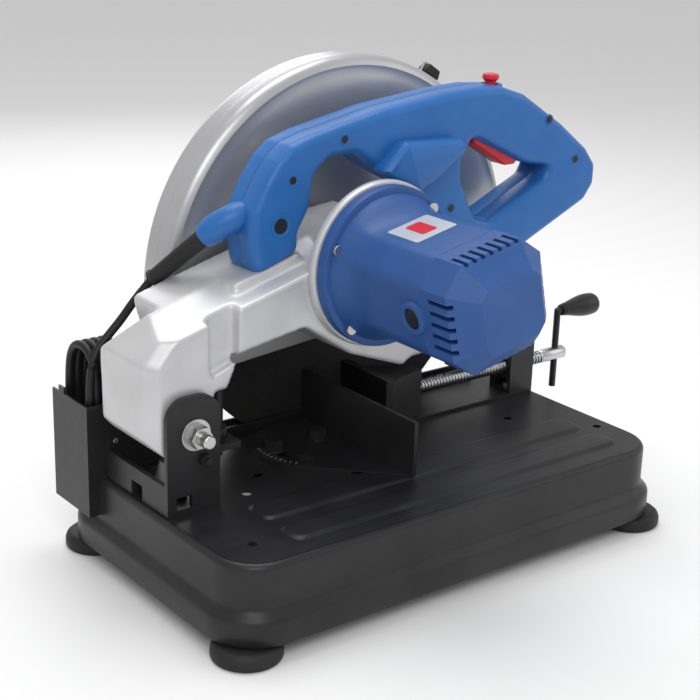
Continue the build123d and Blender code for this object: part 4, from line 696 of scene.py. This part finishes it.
@dataclass
class Guard:
    """Two-part wheel guard, wheel, flanges and the moving guard."""

    radius: float = 204.0
    start: float = -12.0
    stop: float = 196.0
    apex: float = 60.0

    def build(self) -> None:
        """Make the guard shells and dress the wheel set."""
        inner = [(46.5, 88), (60, 88), (66, 90.2), (150, 90.2), (158, 88.2), (186, 88.2), (191, 89.6),
                 (195, 88.8), (199, 90.6), (202.4, 93.5), (203.8, 97.5), (204, 102), (204, 107),
                 (201.4, 107), (201.2, 98), (199.6, 94.6), (196.6, 92.6), (186, 91), (158, 91),
                 (150, 93), (66, 93), (60, 91), (46.5, 91)]
        self.shell("guard_inner_shell", inner, ["guard_inner"])
        outer = [(22, 130), (27, 130), (198, 130), (201.6, 129), (202.8, 126.4), (203, 123), (203, 111),
                 (203.6, 110.4), (203.9, 109.4), (203.6, 108.2), (203, 107.3), (201, 107.3), (201, 122),
                 (199.6, 126), (196, 127), (27, 127), (27, 121), (22, 121)]
        self.shell("guard_outer_shell", outer, ["guard_outer"])
        softened("swing_guard", SHELL, "moving_guard", 0.4)
        softened("guard_screws", ZINC, "head", 0.4)
        for node in ("inner_flange", "outer_flange", "spindle", "driven_gear"):
            softened(node, STEEL, "spindle_set", 0.4)
        softened("wheel_bolt", ZINC, "spindle_set", 0.6)
        frame["nodes"]["abrasive_wheel"].data.materials.clear()
        frame["nodes"]["abrasive_wheel"].data.materials.append(ABRASIVE.material())
        self.tab()

    def limits(self, radius: Points) -> tuple[Points, Points]:
        """Angles at which a circle about the spindle meets the two straight lower edges.

        The edges run from a point below the spindle to the rim; the angle at each radius is read from a fine
        table of points on the edge.

        Args:
            radius: radii in millimetres.

        Returns:
            The low and the high angle in radians for each radius.
        """
        t = np.linspace(0, 1, 4000)
        found = []
        for angle in (self.start, self.stop):
            turn = math.radians(angle)
            far = np.array([math.cos(turn), math.sin(turn)]) * self.radius * 1.6
            line = np.array([0.0, -self.apex]) * (1 - t)[:, None] + far * t[:, None]
            reach = np.linalg.norm(line, axis=1)
            spin = np.unwrap(np.arctan2(line[:, 1], line[:, 0]))
            low = int(reach.argmin())
            found.append(np.interp(radius, reach[low:], spin[low:]))
        first, last = found
        last = np.where(last < 0, last + 2 * np.pi, last)
        return first, last

    def shell(self, name: str, profile: Sequence[tuple[float, float]], replaced: Sequence[str]) -> None:
        """Pressed shell: a closed profile of (radius, y) carried from one lower edge round to the other."""
        radius, y = np.asarray(profile, float).T
        count = 160
        low, high = self.limits(radius)
        whole = radius < 58.5
        low, high = np.where(whole, -np.pi / 2 + 1e-3, low), np.where(whole, 1.5 * np.pi - 1e-3, high)
        s = np.linspace(0, 1, count)
        turn = low[:, None] + (high - low)[:, None] * s[None, :]
        verts = np.stack([SPINDLE[0] + radius[:, None] * np.cos(turn), np.broadcast_to(y[:, None], turn.shape),
                          SPINDLE[1] + radius[:, None] * np.sin(turn)], -1).reshape(-1, 3)
        rows = len(radius)
        faces = grid_faces(rows, count, True, False).tolist()
        faces.append([i * count for i in range(rows)])
        faces.append([i * count + count - 1 for i in range(rows)][::-1])
        put_piece(name, verts, faces, SHELL, "head", replaced, 32, True)

    def tab(self) -> None:
        """Black thumb tab on the moving guard, over its metal tongue."""
        turn = math.radians(57)
        along = np.array([math.cos(turn), math.sin(turn)])
        side = np.array([-along[1], along[0]])
        centre = SPINDLE + along * 210
        half_along, half_side = 7.4, 11.0
        low, high = centre - along * 2, centre + along * half_along
        slim = half_side - 3
        loop = round_loop([low - side * half_side, high - side * slim, high + side * slim, low + side * half_side], 2.5)
        slab("moving_guard_tab", [loop], [(110.5, 1.0), (111.2, 0.2), (112, 0), (121, 0), (121.8, 0.2), (122.4, 1)],
             Lie.ALONG_Y, BLACK_PLASTIC, "moving_guard")


@dataclass
class Arm:
    """Swing arm casting, gear case cover and the bearings in them."""

    def build(self) -> None:
        """Round the casting's edges and dress what it holds."""
        cast_from("swing_arm", CASTING, "head", 2.2, 9)
        lathe("gear_cover_ring", (MOTOR[0], 0, MOTOR[1]),
              [(16, -14), (16, -22), (70, -22), (73.4, -21.6), (74.6, -20.2),
              (75, -18), (75, -15.4), (74, -14), (16, -14)], Lie.ALONG_Y, CASTING, "head", ["gear_cover"], 96)
        for node in ("motor_bearings", "spindle_bearings"):
            softened(node, BEARING, "head", 0.3)


@dataclass
class Motor:
    """Universal motor: housing, end cap, caps, label and the turning set."""

    half_width: float = 52.0
    half_height: float = 49.0
    bevel: float = 20.0

    def build(self) -> None:
        """Make the shell and dress the rest."""
        self.housing()
        softened("end_cap", MOTOR_BLUE, "head", 1.2, 2, 24)
        softened("brush_caps", BLACK_PLASTIC, "head", 0.8)
        softened("motor_screws", ZINC, "head", 0.5)
        self.label()
        plain = (("stator", IRON, "head"), ("carbon_brushes", IRON, "head"), ("armature_shaft", STEEL, "armature"),
                 ("armature_core", IRON, "armature"), ("commutator", COPPER, "armature"),
                 ("cooling_fan", BLACK_PLASTIC, "armature"))
        for node, finish, body in plain:
            softened(node, finish, body, 0.3)

    def reach(self, turn: Points, inset: float) -> Points:
        """Radius of the eight-sided section: the soft minimum of the distances to its eight sides.

        Args:
            turn: angles in the housing's own frame.
            inset: how far the section is drawn in.

        Returns:
            A radius for each angle.
        """
        diagonal = (self.half_width + self.half_height - self.bevel) / math.sqrt(2)
        sides = [(0, self.half_width), (math.pi / 2, self.half_height), (math.pi, self.half_width),
                 (1.5 * math.pi, self.half_height)] + [(math.pi * (0.25 + 0.5 * k), diagonal) for k in range(4)]
        total = sum((np.maximum(np.cos(turn - at), 1e-6) / (size - inset)) ** 34 for at, size in sides)
        return total ** (-1 / 34)

    def housing(self) -> None:
        """Loft from the round flange to the eight-sided body, with a hollow inside it."""
        turn = np.linspace(0, 2 * np.pi, 144, endpoint=False)
        box = self.reach(turn, 0)
        rows = []
        steps = [(-22.2, 1, 71), (-22.8, 1, 72), (-30.8, 1, 72), (-32.4, 1, 71.4), (-33, 1, 70), (-33.2, 1, 66),
                 (-36, 1, 65), (-44, 0.75, 63), (-52, 0.42, 60), (-60, 0.16, 58), (-68, 0.03, 58), (-74, 0, 58),
                 (-108, 0, 58), (-112, 0, 58), (-137, 0, 58), (-139.2, 0, 58), (-139.9, 0, 58)]
        for y, roundness, size in steps:
            inset = 0.8 if y < -139.5 else 0.0
            radius = roundness * size + (1 - roundness) * (box - inset)
            rows.append((y, radius))
        rows += [(-139.9, np.full(144, 44.0)), (-22.2, np.full(144, 44.0))]
        verts = np.stack([np.stack([MOTOR[0] + r * np.cos(turn + MOTOR_ROLL), np.full(144, y),
                                    MOTOR[1] + r * np.sin(turn + MOTOR_ROLL)], -1) for y, r in rows])
        put_piece("motor_housing_shell", verts.reshape(-1, 3), grid_faces(len(rows), 144, True), MOTOR_BLUE, "head",
                  ["motor_housing"], 38, True)
        for sign in (-1, 1):
            along = np.array([math.cos(MOTOR_ROLL), math.sin(MOTOR_ROLL)]) * sign
            centre = MOTOR + along * (self.half_width + 1.5)
            ring = self._collar(along, centre)
            name = "brush_collar_low" if sign < 0 else "brush_collar_high"
            put_piece(name, *ring, MOTOR_BLUE, "head", (), 38, True)

    def _collar(self, along: Points, centre: Points) -> tuple[Points, Points]:
        """Raised ring round a brush cap: a small profile carried round the cap's axis.

        Returns:
            The vertices and the faces.
        """
        profile = np.array([(9.2, -3), (9.2, 2.2), (10, 3), (13.4, 3), (14.4, 2.2), (15.4, -3)])
        turn = np.linspace(0, 2 * np.pi, 48, endpoint=False)
        across = np.array([-along[1], along[0]])
        radius, height = profile[:, 0][:, None], profile[:, 1][:, None]
        x = centre[0] + along[0] * height + across[0] * radius * np.sin(turn)
        z = centre[1] + along[1] * height + across[1] * radius * np.sin(turn)
        y = -128 + radius * np.cos(turn)
        return np.stack([x, y, z], -1).reshape(-1, 3), grid_faces(len(profile), 48, True)

    def label(self) -> None:
        """Blank rating plate on the upper flat, with a plain red band."""
        across = np.array([math.cos(MOTOR_ROLL), math.sin(MOTOR_ROLL)])
        up = np.array([-across[1], across[0]])
        middle = MOTOR + up * (self.half_height + 0.3)
        for name, finish, half, y0, y1, lift, nodes in (
                ("rating_plate", FOIL, 22.0, -106.0, -66.0, 0.0, ["label_plate"]),
                ("rating_band", RED, 8.0, -97.0, -73.0, 0.35, [])):
            loop = round_loop([(-half, y0), (half, y0), (half, y1), (-half, y1)], 2.5, 5)
            flat = np.concatenate([loop, loop])
            height = np.repeat([-0.2 + lift, 0.3 + lift], len(loop))
            x = middle[0] + across[0] * flat[:, 0] + up[0] * height
            z = middle[1] + across[1] * flat[:, 0] + up[1] * height
            n = len(loop)
            faces = grid_faces(2, n).tolist() + [list(range(n))[::-1], list(range(n, 2 * n))]
            put_piece(name, np.stack([x, flat[:, 1], z], 1), faces, finish, "head", nodes, 35, True)


@dataclass
class Handle:
    """Moulded two-part handle with its D-grip, trigger, lock button and screws."""

    near: float = 5.0
    middle: float = 28.0
    shoulder: tuple[float, float] = (9.5, 7.5)
    screws: tuple = ((72, 366), (206, 376), (246, 334), (86, 304), (-94, 350), (-40, 380))

    def outline(self) -> Points:
        """Outer outline of the handle, rounded at its corners."""
        corners = [(-131, 267.2), (-135, 304), (-134, 326), (-121, 350), (-109, 367), (-94, 379.5), (-72, 386.5),
                   (2, 402), (82, 411), (120, 413), (148, 411), (176, 402), (228, 370), (264, 343), (278, 326),
                   (278, 306), (266, 290), (185, 254), (112, 243), (91, 243), (85, 262), (60, 288), (40, 300),
                   (38, 328), (-2, 349), (-25, 366), (-53, 365), (-69, 353), (-74, 322), (-85, 303), (-85, 286)]
        return round_loop(corners, 12, 5)

    def grip(self) -> Points:
        """Opening for the fingers."""
        return round_loop([(112, 368), (99, 346), (101, 326), (119, 292), (136, 286), (206, 318), (213, 330),
                           (190, 334), (178, 337)], 8, 5)

    def build(self) -> None:
        """Make the halves, the shoe, the trigger and the fasteners."""
        bow = np.linspace(0, np.pi / 2, 7)
        deep, wide = self.shoulder
        near_levels = [(self.near + deep * (1 - math.cos(b)), wide * (1 - math.sin(b))) for b in bow]
        near_levels += [(self.middle - 1.2, 0.0), (self.middle - 0.5, 0.2), (self.middle - 0.1, 0.8)]
        far_levels = [(self.middle + self.middle - h, i) for h, i in near_levels[::-1]]
        slab("handle_near_half", [self.outline(), self.grip()], near_levels, Lie.ALONG_Y, HANDLE_BLUE, "head",
             ["handle_near"], (True, True), 40)
        slab("handle_far_half", [self.outline(), self.grip()], far_levels, Lie.ALONG_Y, HANDLE_BLUE, "head",
             ["handle_far"], (True, True), 40)
        for number, (x, z) in enumerate(self.screws):
            lathe(f"handle_well_{number}", (x, self.near, z), [(5.6, 0.3), (5.2, -0.5), (4.4, -0.55), (3.7, -0.1),
                  (3.5, 0.3)], Lie.ALONG_Y, HANDLE_BLUE, "head", (), 32)
            lathe(f"handle_screw_{number}", (x, self.near, z), [(0.01, -0.12), (2.6, -0.2), (3.4, -0.15), (3.6, 0.3),
                  (0.01, 0.35)], Lie.ALONG_Y, BLACK_PLASTIC, "head", ["handle_screws"] if number == 0 else (), 28)
        lathe("handle_lock_bore", (-106, self.near, 312), [(10.5, 0.4), (10.2, -0.8), (8.4, -0.9), (7.4, 0.4)],
              Lie.ALONG_Y, HANDLE_BLUE, "head", (), 40)
        lathe("handle_lock_plug", (-106, self.near, 312), [(0.01, -0.15), (6.6, -0.2), (7.3, 0.4), (0.01, 0.4)],
              Lie.ALONG_Y, BLACK_PLASTIC, "head", (), 32)
        self.shoe()
        self.controls()

    def shoe(self) -> None:
        """Faceted web between the bar and the motor's flange."""
        loop = round_loop([(-8, 350), (18, 374), (84, 372), (92, 362), (60, 338), (34, 326), (2, 343)], 5, 5)
        slab("handle_shoe", [loop], [(-12, 5), (-9.5, 2), (-7, 0.4), (-4, 0), (7, 0)], Lie.ALONG_Y, HANDLE_BLUE,
             "head", (), (True, True), 40)

    def controls(self) -> None:
        """Trigger and lock button."""
        trigger = round_loop([(119, 367), (122, 359), (164, 334), (176, 334), (186, 344), (188, 353), (176, 357),
                              (132, 384), (121, 382)], 3, 5)
        slab("trigger_lever", [trigger], [(17, 2.2), (17.6, 0.9), (19, 0), (37, 0), (38.4, 0.9), (39, 2.2)],
             Lie.ALONG_Y, RED, "trigger_lever", ["trigger"])
        lathe("lock_button_cap", (148, 28, 400), [(0.01, 0), (5.4, 0), (5.8, 1), (5.0, 9), (5.4, 14), (7.8, 16.5),
              (8.0, 18.5), (7.2, 20.6), (5.5, 21), (0.01, 20.6)], Lie.ALONG_Z, RED, "lock_pin", ["lock_button"])
        lathe("lock_button_collar", (148, 28, 410), [(8.4, -3), (8.6, 1.4), (9.4, 2), (11, 1.6), (12, -3)],
              Lie.ALONG_Z, HANDLE_BLUE, "head")


@dataclass
class Cord:
    """Supply cord: strain relief, free cord, hank and plug."""

    diameter: float = 7.6
    length: float = 1.44

    def build(self) -> None:
        """Make the sleeve, the cord and the plug."""
        self.sleeve()
        plug = softened("mains_plug", SHEATH, "base", 1.2, 3)
        self.cord(plug)

    def sleeve(self) -> None:
        """Strain relief: a smooth sleeve with a collar, then a thinner boot; the radius is a set of steps."""
        t = np.linspace(0, 1, 60)[:, None]
        start, end = (np.array(v, float) for v in ((-150, 29, 316), (-185, 88, 256)))
        first = start + (end - start) * 0.08
        path = (1 - t) ** 2 * first + 2 * t * (1 - t) * (start + (end - start) * 0.72) + t ** 2 * end
        s = t[:, 0]
        radius = 8.6 - 1.6 * s
        radius = np.where((s > 0.90) & (s < 0.95), 8.3, radius)
        radius = np.where(s >= 0.95, 6.0, radius)
        radius[0], radius[-1] = 7.0, 4.6
        carried_tube("cable_sleeve_boot", path, radius, RUBBER, "head", ["cable_sleeve"], 28)
        reach = np.linspace(0, 1, 12)[:, None]
        root, bend, tip = (np.array(v, float) for v in ((-123, 28, 322), (-146, 27, 320), (-159, 44, 301)))
        boss = (1 - reach) ** 2 * root + 2 * reach * (1 - reach) * bend + reach ** 2 * tip
        size = np.array([9, 11, 12, 12.4, 12.4, 12.4, 12.4, 12.4, 12.4, 12.2, 11.4, 9.4])
        carried_tube("handle_cord_boss", boss, size, HANDLE_BLUE, "head", (), 36)

    def turns(self) -> Points:
        """Hank of five turns: each is a racetrack in a plane across X, and x moves on by one diameter a turn.

        Returns:
            The points, sixteen to a turn.
        """
        count, half_wide, half_high = 5, 22.6, 52.0
        t = np.linspace(0, count, count * 16 + 1)[1:-3]
        spin = np.pi + 2 * np.pi * t
        flat = half_high - half_wide
        y = 116.3 + half_wide * np.cos(spin)
        z = 147 + half_wide * np.sin(spin) + flat * np.tanh(2.6 * np.sin(spin))
        x = -244.9 + 7.85 * t
        return np.stack([np.minimum(x, -213.6), y, z], 1)

    def cord(self, plug: bpy.types.Object) -> None:
        """Free cord on one smooth spline, from the sleeve through the hank to the plug."""
        lead = [(-185, 88, 256), (-192, 91, 247), (-200, 94.5, 236), (-209, 98, 222), (-222, 100, 208),
                (-236, 98, 196), (-243.5, 94.5, 178)]
        tail = [(-213.2, 108, 99), (-212.6, 112.5, 96.6), (-209, 114, 95.5), (-203, 114, 95.5)]
        route = np.concatenate([np.array(lead, float), self.turns(), np.array(tail, float)])
        data = bpy.data.curves.new("supply_cord_route", "CURVE")
        data.dimensions = "3D"
        spline = data.splines.new("NURBS")
        spline.points.add(len(route) - 1)
        spline.points.foreach_set("co", np.c_[route * MM, np.ones(len(route))].ravel())
        spline.order_u = 3
        spline.use_endpoint_u = True
        data.resolution_u = 4
        carrier = bpy.data.objects.new("supply_cord_route", data)
        bpy.context.scene.collection.objects.link(carrier)
        bpy.context.view_layer.update()
        line = bpy.data.meshes.new_from_object(carrier.evaluated_get(bpy.context.evaluated_depsgraph_get()))
        path = np.empty(len(line.vertices) * 3)
        line.vertices.foreach_get("co", path)
        path = path.reshape(-1, 3) / MM
        bpy.data.objects.remove(carrier)
        cord = carried_tube("supply_cord", path, np.full(len(path), self.diameter / 2), SHEATH, "",
                            ["power_cord", "cord_hank"], 18)
        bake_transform(cord)


# ------------------------------------------------------------------ studio
@dataclass
class Studio:
    """Pale floor, soft lights and the camera."""

    azimuth: float = -38.16
    elevation: float = 18.88
    roll: float = 1.79
    distance: float = 1.3987
    focal: float = 77.0
    target: tuple[float, float, float] = (-0.00289, 0.03612, 0.17302)

    def build(self) -> None:
        """Make floor, lights, sky and camera."""
        self.floor()
        self.light("key", (-1.1, -1.5, 1.7), 1.1, 15)
        self.light("fill", (1.7, -1.0, 1.0), 1.4, 5)
        self.light("top", (0.1, 0.4, 1.9), 1.1, 15)
        self.light("rim", (0.6, 1.7, 1.1), 1.0, 6)
        world = bpy.data.worlds.new("soft_room")
        world.use_nodes = True
        world.node_tree.nodes["Background"].inputs["Color"].default_value = (1.0, 1.0, 1.0, 1)
        world.node_tree.nodes["Background"].inputs["Strength"].default_value = 0.62
        bpy.context.scene.world = world
        bpy.context.scene.view_settings.view_transform = "Standard"
        self.camera()

    def floor(self) -> None:
        """Large pale floor that isn't part of the object."""
        mesh = bpy.data.meshes.new("floor")
        mesh.from_pydata([(-8, -8, 0), (8, -8, 0), (8, 8, 0), (-8, 8, 0)], [], [(0, 1, 2, 3)])
        paint = bpy.data.materials.new("studio_floor")
        paint.use_nodes = True
        shader = paint.node_tree.nodes["Principled BSDF"]
        shader.inputs["Base Color"].default_value = (0.88, 0.88, 0.88, 1)
        shader.inputs["Roughness"].default_value = 0.9
        mesh.materials.append(paint)
        floor = bpy.data.objects.new("floor", mesh)
        bpy.context.scene.collection.objects.link(floor)

    def light(self, name: str, at: tuple[float, float, float], size: float, power: float) -> None:
        """Square soft light aimed at the middle of the saw."""
        data = bpy.data.lights.new(name, "AREA")
        data.size = size
        data.energy = power
        lamp = bpy.data.objects.new(name, data)
        lamp.location = at
        lamp.rotation_euler = (Vector(self.target) - Vector(at)).to_track_quat("-Z", "Y").to_euler()
        bpy.context.scene.collection.objects.link(lamp)

    def camera(self) -> None:
        """Camera on a sphere about the target, turned a little about its own view line."""
        az, el = math.radians(self.azimuth), math.radians(self.elevation)
        back = Vector((math.sin(az) * math.cos(el), -math.cos(az) * math.cos(el), math.sin(el)))
        data = bpy.data.cameras.new("view")
        data.lens = self.focal
        data.sensor_width = 36.0
        data.clip_start = 0.05
        view = bpy.data.objects.new("view", data)
        view.location = Vector(self.target) + back * self.distance
        aim = (-back).to_track_quat("-Z", "Y") @ Quaternion((0, 0, 1), math.radians(self.roll))
        view.rotation_euler = aim.to_euler()
        bpy.context.scene.collection.objects.link(view)
        bpy.context.scene.camera = view


def dress_rest() -> None:
    """Give every CAD node that still shows the finish of its slot."""
    by_slot = {finish.slot: finish for finish in FINISHES}
    slots = {row["node"]: row["material_slot"] for row in frame["record"]["subparts"]}
    for node, piece in frame["nodes"].items():
        if not piece.hide_render and node != "abrasive_wheel":
            piece.data.materials.clear()
            piece.data.materials.append(by_slot[slots[node]].material())
            piece.data.shade_smooth()
            piece.data.set_sharp_from_angle(angle=math.radians(35))


def main() -> None:
    """Build every sub-assembly, then the studio."""
    logging.basicConfig(level=logging.INFO, format="%(message)s")
    for part in (Base(), Fence(), Vise(), Guard(), Arm(), Motor(), Handle(), Cord()):
        LOG.info("building %s", type(part).__name__)
        part.build()
    dress_rest()
    Studio().build()


if __name__ == "__main__":
    main()
